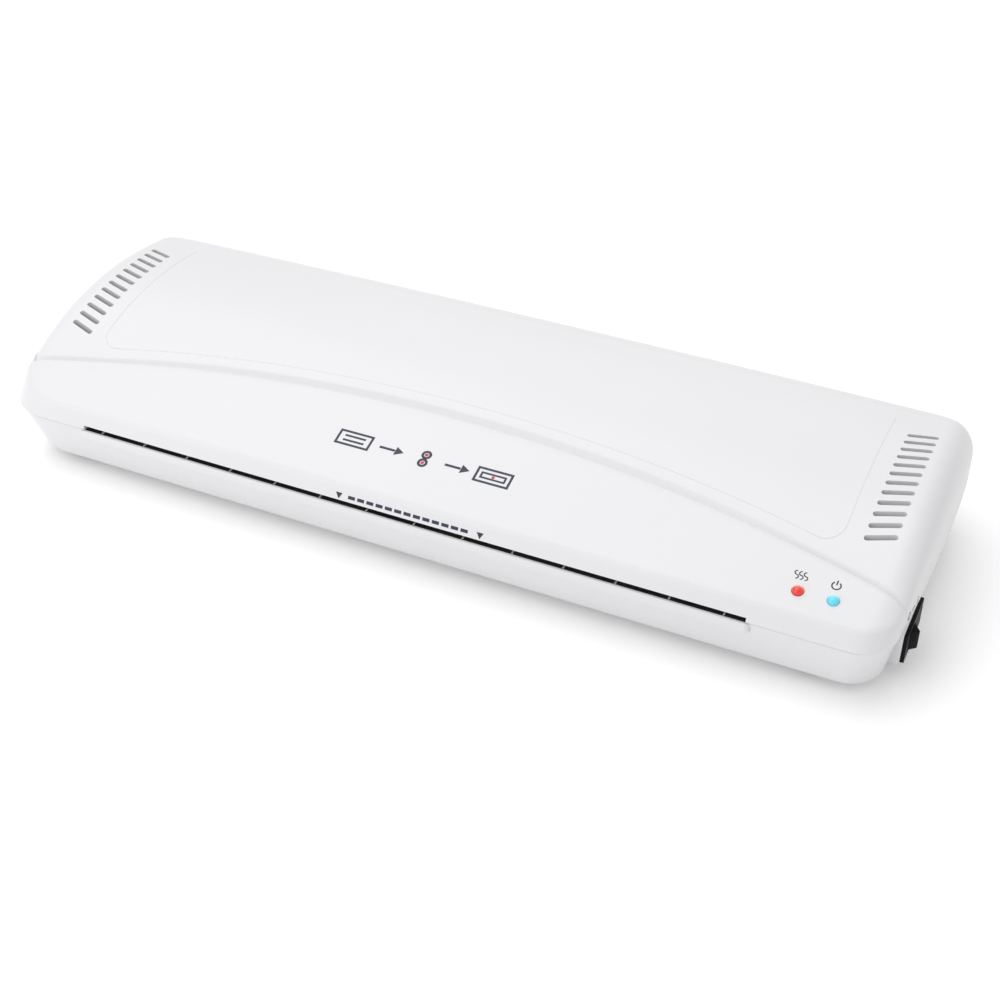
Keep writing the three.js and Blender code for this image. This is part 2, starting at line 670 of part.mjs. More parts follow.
function gearbox() {
  const body = rod("x", [GEARBOX_X, ...PINION_AT], GEARBOX_R, GEARBOX_DEPTH, 28);
  return cut(body, rod("x", [GEARBOX_X - 1, ...PINION_AT], 2.8, 8, 20));
}

function motorCan() {
  const x = GEARBOX_X + GEARBOX_DEPTH + GAP;
  const profile = [[0, 0], [14.5, 0], [14.5, 9.5], [13, 11], [6, 11], [5, 12], [0, 12]];
  return turned("x", [x, ...PINION_AT], profile, 28);
}

function drivePinion() {
  const wheel = gear(PINION_TEETH, PINION_PHASE, 1, 3.6);
  const shaft = rod("x", [-1, 0, 0], 2.4, GEARBOX_X - GEAR_X + 7, 20);
  return join(wheel, shaft).translate([GEAR_X, ...PINION_AT]);
}

// The fixed pin that the idler turns on, with its head inside the right side frame.
function idlerPin() {
  const profile = [[0, -1.5 - GAP], [4, -1.5 - GAP], [4, -GAP], [2, -GAP], [2, 14.5], [0, 14.5]];
  return turned("x", [FRAME_RIGHT, ...IDLER_AT], profile, 20);
}

// ---- Heaters ------------------------------------------------------------------------------------

// A heater plate whose leading edge flares away from the paper path; `way` is 1 above and -1 below.
function heaterPlate(way) {
  const face = NIP_Z + (way * HEATER_GAP) / 2;
  const outline = [
    [HEATER_FRONT, face + way * 1.4],
    [HEATER_FRONT + 5, face],
    [HEATER_REAR - 2, face],
    [HEATER_REAR, face + way * 0.8],
    [HEATER_REAR, face + way * PLATE_THICK],
    [HEATER_FRONT, face + way * PLATE_THICK],
  ];
  return bar(way > 0 ? outline : outline.reverse(), SLOT_LEFT - 2, SLOT_RIGHT + 2);
}

function heaterElement(way) {
  const near = NIP_Z + way * (HEATER_GAP / 2 + PLATE_THICK + GAP);
  const far = near + way * ELEMENT_THICK;
  const [z0, z1] = [Math.min(near, far), Math.max(near, far)];
  const strip = block([SLOT_LEFT + 4, HEATER_FRONT + 6, z0], [SLOT_RIGHT - 4, HEATER_REAR - 6, z1]);
  const tab = block([SLOT_RIGHT - 5, -34, z0], [SLOT_RIGHT + 3, -26, z1]);
  return join(strip, tab);
}

// A folded sheet that keeps the heat off the casing; its lips turn back towards the heater.
function heatShield(way, z, y0, y1) {
  const t = 0.8 * way;
  const lip = -4 * way;
  const outside = [[y0, z + lip], [y0, z + t], [y1, z + t], [y1, z + lip]];
  const inside = [[y1 - 0.8, z + lip], [y1 - 0.8, z], [y0 + 0.8, z], [y0 + 0.8, z + lip]];
  return bar([...outside, ...inside], FRAME_LEFT + GAP, FRAME_RIGHT - GAP);
}

function thermostat() {
  const z = ELEMENT_TOP + GAP;
  const profile = [[0, 0], [8, 0], [8, 1.4], [6.5, 1.4], [6.5, 5], [0, 5]];
  const cup = turned("z", [60, -31, z], profile, 24);
  const tabs = [56.5, 62.7].map((x) => block([x, -35.5, z + 3], [x + 0.8, -26.5, z + 6]));
  return join(cup, ...tabs);
}

function thermalFuse() {
  const z = ELEMENT_TOP + GAP + 2;
  const tube = rod("x", [92, -31, z], 2, 12, 16);
  const leads = rod("x", [82, -31, z], 0.5, 32, 8);
  return join(tube, leads);
}

// ---- Electrics ----------------------------------------------------------------------------------

function controlBoard() {
  const top = BOARD_Z + BOARD_THICK;
  const board = block([175.5, -76, BOARD_Z], [201, -45, top]);
  const relay = block([190, -58, top - 0.2], [200, -47, top + 7]);
  const connector = block([179, -56, top - 0.2], [189, -48, top + 6]);
  const capacitor = rod("z", [188, -62, top - 0.2], 2.5, 7, 16);
  return join(board, relay, connector, capacitor);
}

// A 5 mm lamp that stands on two legs over the board and looks out through the deck.
function lamp(x) {
  const legTop = deckZ(LAMP_Y) - 3.2;
  const profile = [[0, 0], [2.5, 0], [2.5, 4.2], [2.2, 5.3], [1.4, 6.2], [0, 6.6]];
  const dome = turned("z", [x, LAMP_Y, legTop - 1.2], profile, 16);
  const legs = [-1.27, 1.27].map((dx) => {
    const low = [x + dx - 0.3, LAMP_Y - 0.3, BOARD_Z + BOARD_THICK + GAP];
    return block(low, [x + dx + 0.3, LAMP_Y + 0.3, legTop]);
  });
  return join(dome, ...legs);
}

// ---- Switch -------------------------------------------------------------------------------------

function switchHousing() {
  const about = (x0, x1, halfY, halfZ) => {
    const low = [SWITCH_FACE + x0, SWITCH_Y - halfY, SWITCH_Z - halfZ];
    return block(low, [SWITCH_FACE + x1, SWITCH_Y + halfY, SWITCH_Z + halfZ]);
  };
  const body = about(-20, 0.6, BODY_HALF_Y, BODY_HALF_Z);
  const bezel = about(GAP, GAP + 1.5, BEZEL_HALF_Y, BEZEL_HALF_Z);
  const well = about(-9, 5, WELL_HALF_Y, WELL_HALF_Z);
  const pinHole = rod("z", [ROCKER_PIVOT_X, SWITCH_Y, SWITCH_Z - 5.8], 1.5, 11.6, 12);
  let solid = cut(join(body, bezel), well, pinHole);
  for (const dy of [-7, 7]) {
    solid = solid.add(about(-26, -19, 0.4, 2.4).translate([0, dy, 0]));
  }
  return solid;
}

// The rocker, pressed in at its rear end: its two faces meet in a shallow valley over the pivot.
function powerRocker() {
  const outline = [
    [-7.8, 5.2],
    [-4, 3.4],
    [0, 2.8],
    [4, 3.4],
    [7.8, 5.2],
    [10.7, 0.2],
    [6, -3.4],
    [0, -4.6],
    [-6, -3.4],
    [-10.7, 0.2],
  ];
  const shape = new THREE.Shape(outline.map(([y, x]) => new THREE.Vector2(x, y)));
  const geometry = new THREE.ExtrudeGeometry(shape, { depth: 9.8, bevelEnabled: false });
  geometry.translate(0, 0, -4.9);
  geometry.rotateZ(ROCKER_TILT);
  geometry.translate(ROCKER_PIVOT_X, SWITCH_Y, SWITCH_Z);
  return cut(toSolid(geometry), rod("z", [ROCKER_PIVOT_X, SWITCH_Y, SWITCH_Z - 8], 1.5, 16, 16));
}

const rockerPin = () => rod("z", [ROCKER_PIVOT_X, SWITCH_Y, SWITCH_Z - 5.5], 1.2, 11, 12);

// ---- Assembly -----------------------------------------------------------------------------------

const assembly = new THREE.Group();

function add(name, solid, material) {
  const mesh = new THREE.Mesh(toGeometry(solid), material);
  mesh.name = name;
  assembly.add(mesh);
}

const SIDES = { left: -1, right: 1 };

add("top_cover", topCover(), whitePlastic());
add("bottom_casing", bottomCasing(), whitePlastic());
add("entry_guide_lower", guide(FRONT_Y + 4.6, -57, 28.6, 30.1, 31), blackPlastic());
add("entry_guide_upper", guide(FRONT_Y + 7, -57, 34.2, 35.4, 33.6), blackPlastic());
add("exit_guide", guide(23, 75, 28, 29.3, 30.3), blackPlastic());

for (const [word, side] of Object.entries(SIDES)) {
  add(`side_frame_${word}`, sideFrame(side), steel());
  add(`lower_bush_${word}`, bush(LOWER_ROLLER_Z, side), brass());
  add(`upper_bush_${word}`, bush(UPPER_ROLLER_Z, side), brass());
  add(`pressure_spring_${word}`, spring(side), steel());
  for (const [place, at] of Object.entries(TIES)) {
    add(`tie_nut_${place}_${word}`, tieNut(at, side), steel());
  }
}
for (const [place, at] of Object.entries(TIES)) add(`tie_bar_${place}`, tieBar(at), steel());

add("lower_roller_shaft", rollerShaft(LOWER_ROLLER_Z), steel());
add("lower_roller_sleeve", rollerSleeve(LOWER_ROLLER_Z), silicone());
add("upper_roller_shaft", rollerShaft(UPPER_ROLLER_Z), steel());
add("upper_roller_sleeve", rollerSleeve(UPPER_ROLLER_Z), silicone());

const gearBore = JOURNAL_R + GAP;
const onLower = [GEAR_X, ROLLER_Y, LOWER_ROLLER_Z];
const onUpper = [GEAR_X, ROLLER_Y, UPPER_ROLLER_Z];
add("lower_roller_gear", gear(ROLLER_TEETH, LOWER_PHASE, gearBore, 6).translate(onLower), nylon());
add("upper_roller_gear", gear(ROLLER_TEETH, UPPER_PHASE, gearBore, 6).translate(onUpper), nylon());
add("idler_gear", gear(IDLER_TEETH, IDLER_PHASE, 2 + GAP, 4.5).translate([GEAR_X, ...IDLER_AT]), nylon());
add("idler_pin", idlerPin(), steel());
add("drive_pinion", drivePinion(), brass());
add("motor_bracket", motorBracket(), steel());
add("motor_gearbox", gearbox(), aluminium());
add("motor_can", motorCan(), steel());

add("heater_plate_lower", heaterPlate(-1), aluminium());
add("heater_plate_upper", heaterPlate(1), aluminium());
add("heater_element_lower", heaterElement(-1), look(0xa88c5a, 0.6, 0));
add("heater_element_upper", heaterElement(1), look(0xa88c5a, 0.6, 0));
add("heat_shield_lower", heatShield(-1, 20, -52, -9), aluminium());
add("heat_shield_upper", heatShield(1, 47, -42, -9), aluminium());
add("thermostat", thermostat(), look(0xb9b3a2, 0.4, 0.6));
add("thermal_fuse", thermalFuse(), look(0xe9e4d8, 0.4, 0));

add("control_board", controlBoard(), look(0x1f6b3a, 0.5, 0));
for (const [name, x] of Object.entries(LAMPS)) {
  add(name, lamp(x), look(name.includes("red") ? 0xff3a2a : 0x5fe0ff, 0.2, 0));
}
add("switch_housing", switchHousing(), blackPlastic());
add("power_rocker", powerRocker(), blackPlastic());
add("rocker_pin", rockerPin(), steel());
add("cord_gland", cordGland(), blackPlastic());

FEET_AT.forEach((at, i) => add(`rubber_foot_${i + 1}`, foot(at), rubber()));
CASING_SCREWS_AT.forEach((at, i) => {
  add(`casing_screw_${i + 1}`, screw(at, FOOT_H + 1.6, 3.6, 2.4, 1.5, 30, 1), steel());
});
frameScrewPlaces().forEach((at, i) => {
  add(`frame_screw_${i + 1}`, screw(at, 13, 3, 2.2, 1.2, 5, -1), steel());
});

// The rocker stands out at one end only, so the shells sit off the frame's middle by half of that.
const overhang = (ROCKER_REACH - HALF_LENGTH) / 2;
assembly.position.set(-overhang, 0, 0);

const laminator = new THREE.Group();
laminator.add(assembly);

export default laminator;
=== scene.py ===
"""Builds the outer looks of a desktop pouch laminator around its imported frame."""

import json
import math

import bpy
from bpy.props import FloatProperty, FloatVectorProperty, IntProperty, PointerProperty
from mathutils import Matrix, Vector


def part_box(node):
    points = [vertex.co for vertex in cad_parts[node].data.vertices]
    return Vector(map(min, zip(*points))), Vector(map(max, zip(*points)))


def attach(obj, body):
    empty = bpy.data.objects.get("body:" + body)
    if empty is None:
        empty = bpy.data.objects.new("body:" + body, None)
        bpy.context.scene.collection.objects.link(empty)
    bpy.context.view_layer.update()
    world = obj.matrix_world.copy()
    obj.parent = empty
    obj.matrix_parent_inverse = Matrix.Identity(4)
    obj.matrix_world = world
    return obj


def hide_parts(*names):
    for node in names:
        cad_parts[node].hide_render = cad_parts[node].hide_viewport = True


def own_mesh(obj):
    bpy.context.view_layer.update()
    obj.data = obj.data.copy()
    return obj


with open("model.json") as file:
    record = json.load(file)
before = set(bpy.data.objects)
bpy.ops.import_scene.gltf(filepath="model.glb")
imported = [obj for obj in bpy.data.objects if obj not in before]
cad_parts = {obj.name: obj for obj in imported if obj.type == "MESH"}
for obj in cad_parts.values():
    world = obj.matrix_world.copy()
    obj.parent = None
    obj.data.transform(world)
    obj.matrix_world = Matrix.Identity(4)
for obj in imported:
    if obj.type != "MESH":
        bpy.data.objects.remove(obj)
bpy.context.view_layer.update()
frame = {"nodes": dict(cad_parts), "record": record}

bl_info = {
    "name": "Pouch Laminator Looks",
    "version": (1, 0, 0),
    "blender": (4, 5, 0),
    "location": "View3D > Sidebar > Laminator",
    "description": "Shells, controls, marks and finishes of a desktop pouch laminator",
    "category": "Add Mesh",
}

# ---- Sizes shared by the pieces, in metres ------------------------------------------------------

MM = 0.001

cover_low, cover_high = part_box("top_cover")
casing_low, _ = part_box("bottom_casing")
housing_low, housing_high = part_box("switch_housing")
pin_low, pin_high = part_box("rocker_pin")
guide_low, guide_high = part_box("entry_guide_lower")

CENTRE_X = (cover_low.x + cover_high.x) / 2
FOOT_H = casing_low.z
COVER_BASE = cover_low.z
CASING_RIM = COVER_BASE - 0.3 * MM
HALF_LENGTH = 228.9 * MM
FRONT_Y = cover_low.y
REAR_Y = 83.75 * MM
PART_Z = 31 * MM

DECK_FRONT_Y = FRONT_Y + 4 * MM
DECK_FRONT_Z = 41 * MM
DECK_SLOPE = 0.3
GROOVE_Y = -28 * MM
GROOVE_RADIUS = 845 * MM
ROLL_Y = 53.5 * MM
ROLL_Z = 33 * MM
REAR_BOW = 5.5 * MM
END_ROLL = 12 * MM
END_ROLL_SHARE = 0.45
END_BOW = 0.0105
WALL_RISE = 8 * MM
RIM_TOP = COVER_BASE + 0.6 * MM
RIM_INSET = 0.5 * MM
CREST_IN = 3.7 * MM
CREST_ROUND = 3.4 * MM
LEFT_CORNER = 22 * MM
LEFT_DECK_CORNER = 32 * MM
RIGHT_CORNER = 15 * MM
REAR_CORNER = 22 * MM

CASING_STEP = 0.8 * MM
FRONT_TAPER = 9 * MM
REAR_TAPER = 6 * MM
END_TAPER = 5 * MM
FOOT_EDGE = 3 * MM

SLOT_LEFT = guide_low.x - 1 * MM
SLOT_RIGHT = guide_high.x + 1 * MM
SLOT_BOTTOM = 30.6 * MM
SLOT_TOP = 33.4 * MM

VENT_PITCH = 6.4 * MM
VENT_REAR_Y = 35.5 * MM
VENT_X = 207 * MM
VENT_TILT = math.radians(15.9)

LAMP_Y = -68.8 * MM
LAMP_RADIUS = 2.5 * MM
LAMP_DOME = 1.9 * MM
LAMP_DEPTH = 6 * MM

PIVOT = (pin_low + pin_high) / 2
ROCKER_TILT = math.radians(11)
SWITCH_FACE = housing_high.x - 1.8 * MM
BEZEL_RIM = 2.2 * MM
REAR_RIM_CUT = 2.7 * MM
WELL_LENGTH = 23.4 * MM

INK = 0.06 * MM

# ---- Stage: places in metres, angles in degrees, powers in watts ---------------------------------

CAMERA_AZIMUTH = 25.236
CAMERA_ELEVATION = 36.368
CAMERA_LENS = 57.524
CAMERA_PLACE = (0.28786, -0.58677, 0.46965)
SKY_STRENGTH = 0.72
FLOOR_GLOW = 0.08
LIGHTS = (
    # name, place, size, power
    ("Overhead", (-0.55, 0.1, 1.85), 2.0, 18.0),
    ("Front", (-1.1, -1.8, 0.9), 1.8, 12.0),
    ("Rear edge", (-0.4, 1.6, 1.2), 1.2, 3.0),
)


def settings(name):
    """The scene's settings for one group of pieces."""
    return getattr(bpy.context.scene, "laminator_" + name)


class CasingSettings(bpy.types.PropertyGroup):
    """Sizes and colour of the two shells."""

    wall: FloatProperty(
        name="Wall", description="Thickness of both shells", default=2.4 * MM, unit="LENGTH"
    )
    groove_depth: FloatProperty(
        name="Groove depth",
        description="Depth of the arc that crosses the deck",
        default=1.4 * MM,
        unit="LENGTH",
    )
    groove_half: FloatProperty(
        name="Groove half width",
        description="Half the width of the arc that crosses the deck",
        default=1.7 * MM,
        unit="LENGTH",
    )
    line_radius: FloatProperty(
        name="Panel line",
        description="Half the width of the fine line around the hump",
        default=0.22 * MM,
        unit="LENGTH",
    )
    vents: IntProperty(name="Vents", description="Vents in each row", default=12, min=1)
    vent_length: FloatProperty(
        name="Vent length", description="Length of one vent", default=14.2 * MM, unit="LENGTH"
    )
    vent_width: FloatProperty(
        name="Vent width", description="Width of one vent", default=2.6 * MM, unit="LENGTH"
    )
    plastic: FloatVectorProperty(
        name="Plastic",
        description="Colour of the shells",
        default=(0.71, 0.71, 0.722),
        subtype="COLOR",
    )


class FeedSettings(bpy.types.PropertyGroup):
    """Sizes of the feed slot's lip and ribs."""

    ribs: IntProperty(name="Ribs", description="Ribs across the feed slot", default=14, min=2)
    rib_width: FloatProperty(
        name="Rib width", description="Width of one rib", default=0.9 * MM, unit="LENGTH"
    )
    lip_height: FloatProperty(
        name="Lip height", description="Height of the lip under the slot", default=5.8 * MM,
        unit="LENGTH",
    )


class ControlSettings(bpy.types.PropertyGroup):
    """Colours of the lamps, the switch and the marks."""

    heat_colour: FloatVectorProperty(
        name="Heating lamp", description="Colour of the lit heating lamp",
        default=(0.8, 0.03, 0.015), subtype="COLOR",
    )
    power_colour: FloatVectorProperty(
        name="Power lamp", description="Colour of the lit power lamp",
        default=(0.1, 0.66, 0.86), subtype="COLOR",
    )
    ink_colour: FloatVectorProperty(
        name="Ink", description="Colour of the printed marks", default=(0.012, 0.013, 0.035),
        subtype="COLOR",
    )
    accent_colour: FloatVectorProperty(
        name="Accent", description="Colour of the dots in the deck's mark",
        default=(0.55, 0.02, 0.03), subtype="COLOR",
    )


# ---- Modelling helpers --------------------------------------------------------------------------


def only(obj):
    """Selects one object and nothing else."""
    bpy.ops.object.select_all(action="DESELECT")
    obj.select_set(True)
    bpy.context.view_layer.objects.active = obj


def keep_as(name):
    """Names the object that was just added."""
    obj = bpy.context.active_object
    obj.name = name
    obj.data.name = name
    return obj


def settle(obj):
    """Moves an object's place and size into its mesh."""
    only(obj)
    bpy.ops.object.transform_apply(location=True, rotation=True, scale=True)
    return obj


def skin(name, columns, rows, place):
    """Adds a grid and lays each of its points where place(column, row) says."""
    bpy.ops.object.select_all(action="DESELECT")
    bpy.ops.mesh.primitive_grid_add(x_subdivisions=columns, y_subdivisions=rows, size=2)
    obj = keep_as(name)
    for vertex in obj.data.vertices:
        column = round((vertex.co.x + 1) / 2 * columns)
        row = round((vertex.co.y + 1) / 2 * rows)
        vertex.co = place(column, row)
    bpy.ops.object.mode_set(mode="EDIT")
    bpy.ops.mesh.select_all(action="SELECT")
    bpy.ops.mesh.remove_doubles(threshold=0.002 * MM)
    bpy.ops.mesh.dissolve_degenerate(threshold=0.001 * MM)
    bpy.ops.mesh.select_all(action="SELECT")
    bpy.ops.mesh.normals_make_consistent(inside=False)
    bpy.ops.object.mode_set(mode="OBJECT")
    return obj


def close_ends(tube):
    """Fills the open ends of a tube."""
    only(tube)
    bpy.ops.object.mode_set(mode="EDIT")
    bpy.ops.mesh.select_mode(type="VERT")
    bpy.ops.mesh.select_all(action="DESELECT")
    bpy.ops.mesh.select_non_manifold()
    bpy.ops.mesh.edge_face_add()
    bpy.ops.mesh.select_all(action="SELECT")
    bpy.ops.mesh.normals_make_consistent(inside=False)
    bpy.ops.object.mode_set(mode="OBJECT")
    return tube


def lathe(name, base, axis, profile, columns=32):
    """A turned piece: profile holds (radius, height) pairs along the axis."""
    turn = {"x": Matrix.Rotation(math.pi / 2, 4, "Y"), "y": Matrix.Rotation(-math.pi / 2, 4, "X")}
    matrix = Matrix.Translation(base) @ turn.get(axis, Matrix.Identity(4))

    def place(column, row):
        radius, height = profile[row]
        angle = 2 * math.pi * column / columns
        return matrix @ Vector((radius * math.cos(angle), radius * math.sin(angle), height))

    return skin(name, columns, len(profile) - 1, place)


def slab(name, low, high):
    """A box between two corners, ready to be shaped."""
    low, high = Vector(low), Vector(high)
    bpy.ops.object.select_all(action="DESELECT")
    bpy.ops.mesh.primitive_cube_add(size=1, location=(low + high) / 2, scale=high - low)
    return settle(keep_as(name))


def select_faces(obj, wanted):
    """Selects, in edit mode, the faces that wanted(face) accepts."""
    only(obj)
    bpy.ops.object.mode_set(mode="EDIT")
    bpy.ops.mesh.select_mode(type="FACE")
    bpy.ops.mesh.select_all(action="DESELECT")
    bpy.ops.object.mode_set(mode="OBJECT")
    for face in obj.data.polygons:
        face.select = wanted(face)
    bpy.ops.object.mode_set(mode="EDIT")


def bevel(obj, width, wanted, segments=4):
    """Rounds the edges whose two ends wanted(a, b) accepts."""
    only(obj)
    bpy.ops.object.mode_set(mode="EDIT")
    bpy.ops.mesh.select_mode(type="EDGE")
    bpy.ops.mesh.select_all(action="DESELECT")
    bpy.ops.object.mode_set(mode="OBJECT")
    points = obj.data.vertices
    for edge in obj.data.edges:
        edge.select = wanted(*(points[i].co for i in edge.vertices))
    bpy.ops.object.mode_set(mode="EDIT")
    bpy.ops.mesh.bevel(offset=width, segments=segments, affect="EDGES")
    bpy.ops.object.mode_set(mode="OBJECT")


def soften(obj, width, segments=3):
    """Rounds every sharp edge by a bevel modifier, which is then applied."""
    only(obj)
    modifier = obj.modifiers.new("Soft edges", "BEVEL")
    modifier.width = width
    modifier.segments = segments
    modifier.limit_method = "ANGLE"
    modifier.use_clamp_overlap = True
    bpy.ops.object.modifier_apply(modifier=modifier.name)


def copy_of(obj, name, matrix):
    """A copy with its own mesh, moved by the matrix."""
    twin = obj.copy()
    twin.data = obj.data.copy()
    twin.name = name
    twin.data.name = name
    twin.data.transform(matrix)
    bpy.context.scene.collection.objects.link(twin)
    return twin


def joined(pieces, name):
    """Joins pieces into one object."""
    bpy.ops.object.select_all(action="DESELECT")
    for piece in pieces:
        piece.select_set(True)
    bpy.context.view_layer.objects.active = pieces[0]
    if len(pieces) > 1:
        bpy.ops.object.join()
    return keep_as(name)


def carve(obj, cutter):
    """Takes the cutter's solid out of the object and removes the cutter."""
    modifier = obj.modifiers.new("Openings", "BOOLEAN")
    modifier.operation = "DIFFERENCE"
    modifier.solver = "EXACT"
    modifier.use_self = True
    modifier.object = cutter
    only(obj)
    bpy.ops.object.modifier_apply(modifier=modifier.name)
    bpy.data.objects.remove(cutter)
    if not obj.data.polygons:
        raise RuntimeError(obj.name + " was lost when its openings were cut")


def finish_piece(obj, material, body, slot, *nodes, angle=35):
    """Shades a piece, gives it its material and fixes it to a body of the frame."""
    only(obj)
    bpy.ops.object.shade_smooth_by_angle(angle=math.radians(angle))
    obj.data.materials.clear()
    obj.data.materials.append(material)
    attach(obj, body)
    if nodes:
        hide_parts(*nodes)
    return obj


# ---- Material helpers ---------------------------------------------------------------------------


class Wiring:
    """Adds nodes to one node tree and links them by socket name."""

    def __init__(self, tree):
        self.tree = tree

    def add(self, kind, values=None, **attributes):
        node = self.tree.nodes.new(kind)
        for key, value in attributes.items():
            setattr(node, key, value)
        for key, value in (values or {}).items():
            node.inputs[key].default_value = value
        return node

    def link(self, source, target):
        self.tree.links.new(source, target)


def new_group(name, inputs, outputs):
    """A shader node group with float inputs and the outputs that are named."""
    tree = bpy.data.node_groups.new(name, "ShaderNodeTree")
    for label, default in inputs.items():
        socket = tree.interface.new_socket(label, in_out="INPUT", socket_type="NodeSocketFloat")
        socket.default_value = default
    for label in outputs:
        tree.interface.new_socket(label, in_out="OUTPUT", socket_type="NodeSocketFloat")
    wiring = Wiring(tree)
    return tree, wiring, wiring.add("NodeGroupInput"), wiring.add("NodeGroupOutput")


def grain_group():
    """Fine spark texture of a mould: a height, and a roughness that follows it."""
    tree, w, given, out = new_group(
        "Mould Grain", {"Scale": 2500.0, "Gloss": 0.35, "Spread": 0.08}, ["Height", "Roughness"]
    )
    place = w.add("ShaderNodeTexCoord")
    fine = w.add("ShaderNodeTexNoise", {"Detail": 3.0, "Roughness": 0.6})
    broad = w.add("ShaderNodeTexNoise", {"Scale": 34.0, "Detail": 4.0})
    for noise in (fine, broad):
        w.link(place.outputs["Object"], noise.inputs["Vector"])
    w.link(given.outputs["Scale"], fine.inputs["Scale"])
    w.link(fine.outputs["Fac"], out.inputs["Height"])
    centred = w.add("ShaderNodeMath", {1: 0.5}, operation="SUBTRACT")
    w.link(broad.outputs["Fac"], centred.inputs[0])
    spread = w.add("ShaderNodeMath", operation="MULTIPLY_ADD")
    w.link(centred.outputs[0], spread.inputs[0])
    w.link(given.outputs["Spread"], spread.inputs[1])
    w.link(given.outputs["Gloss"], spread.inputs[2])
    w.link(spread.outputs[0], out.inputs["Roughness"])
    return tree


def wear_group():
    """Where edges are rubbed: the sharp edges, broken up by a noise."""
    tree, w, given, out = new_group("Edge Wear", {"Amount": 0.3, "Breakup": 180.0}, ["Mask"])
    shape = w.add("ShaderNodeNewGeometry")
    edges = w.add(
        "ShaderNodeMapRange", {"From Min": 0.53, "From Max": 0.64, "To Min": 0.0, "To Max": 1.0}
    )
    w.link(shape.outputs["Pointiness"], edges.inputs["Value"])
    place = w.add("ShaderNodeTexCoord")
    noise = w.add("ShaderNodeTexNoise", {"Detail": 4.0})
    w.link(place.outputs["Object"], noise.inputs["Vector"])
    w.link(given.outputs["Breakup"], noise.inputs["Scale"])
    patchy = w.add("ShaderNodeMath", operation="MULTIPLY")
    w.link(edges.outputs["Result"], patchy.inputs[0])
    w.link(noise.outputs["Fac"], patchy.inputs[1])
    scaled = w.add("ShaderNodeMath", operation="MULTIPLY", use_clamp=True)
    w.link(patchy.outputs[0], scaled.inputs[0])
    w.link(given.outputs["Amount"], scaled.inputs[1])
    w.link(scaled.outputs[0], out.inputs["Mask"])
    return tree


def handling_group():
    """Soft clouds of handling and dust, from 0 to 1."""
    tree, w, given, out = new_group("Handling", {"Scale": 9.0, "Amount": 0.5}, ["Mask"])
    place = w.add("ShaderNodeTexCoord")
    clouds = w.add("ShaderNodeTexNoise", {"Detail": 6.0, "Roughness": 0.62})
    w.link(place.outputs["Object"], clouds.inputs["Vector"])
    w.link(given.outputs["Scale"], clouds.inputs["Scale"])
    sharpened = w.add(
        "ShaderNodeMapRange", {"From Min": 0.35, "From Max": 0.75, "To Min": 0.0, "To Max": 1.0}
    )
    w.link(clouds.outputs["Fac"], sharpened.inputs["Value"])
    scaled = w.add("ShaderNodeMath", operation="MULTIPLY", use_clamp=True)
    w.link(sharpened.outputs["Result"], scaled.inputs[0])
    w.link(given.outputs["Amount"], scaled.inputs[1])
    w.link(scaled.outputs[0], out.inputs["Mask"])
    return tree


def brushed_group():
    """Fine lines along X, as rolled or turned metal has: a height and a roughness."""
    tree, w, given, out = new_group(
        "Brushed Lines", {"Across": 900.0, "Gloss": 0.35, "Spread": 0.2}, ["Height", "Roughness"]
    )
    place = w.add("ShaderNodeTexCoord")
    along = w.add("ShaderNodeMapping", {"Scale": (0.02, 1.0, 1.0)})
    w.link(place.outputs["Object"], along.inputs["Vector"])
    lines = w.add("ShaderNodeTexNoise", {"Detail": 3.0})
    w.link(along.outputs["Vector"], lines.inputs["Vector"])
    w.link(given.outputs["Across"], lines.inputs["Scale"])
    w.link(lines.outputs["Fac"], out.inputs["Height"])
    centred = w.add("ShaderNodeMath", {1: 0.5}, operation="SUBTRACT")
    w.link(lines.outputs["Fac"], centred.inputs[0])
    spread = w.add("ShaderNodeMath", operation="MULTIPLY_ADD")
    w.link(centred.outputs[0], spread.inputs[0])
    w.link(given.outputs["Spread"], spread.inputs[1])
    w.link(given.outputs["Gloss"], spread.inputs[2])
    w.link(spread.outputs[0], out.inputs["Roughness"])
    return tree


def shared_group(name):
    """The node group of that name, built the first time it is asked for."""
    makers = {
        "Mould Grain": grain_group,
        "Edge Wear": wear_group,
        "Handling": handling_group,
        "Brushed Lines": brushed_group,
    }
    return bpy.data.node_groups.get(name) or makers[name]()


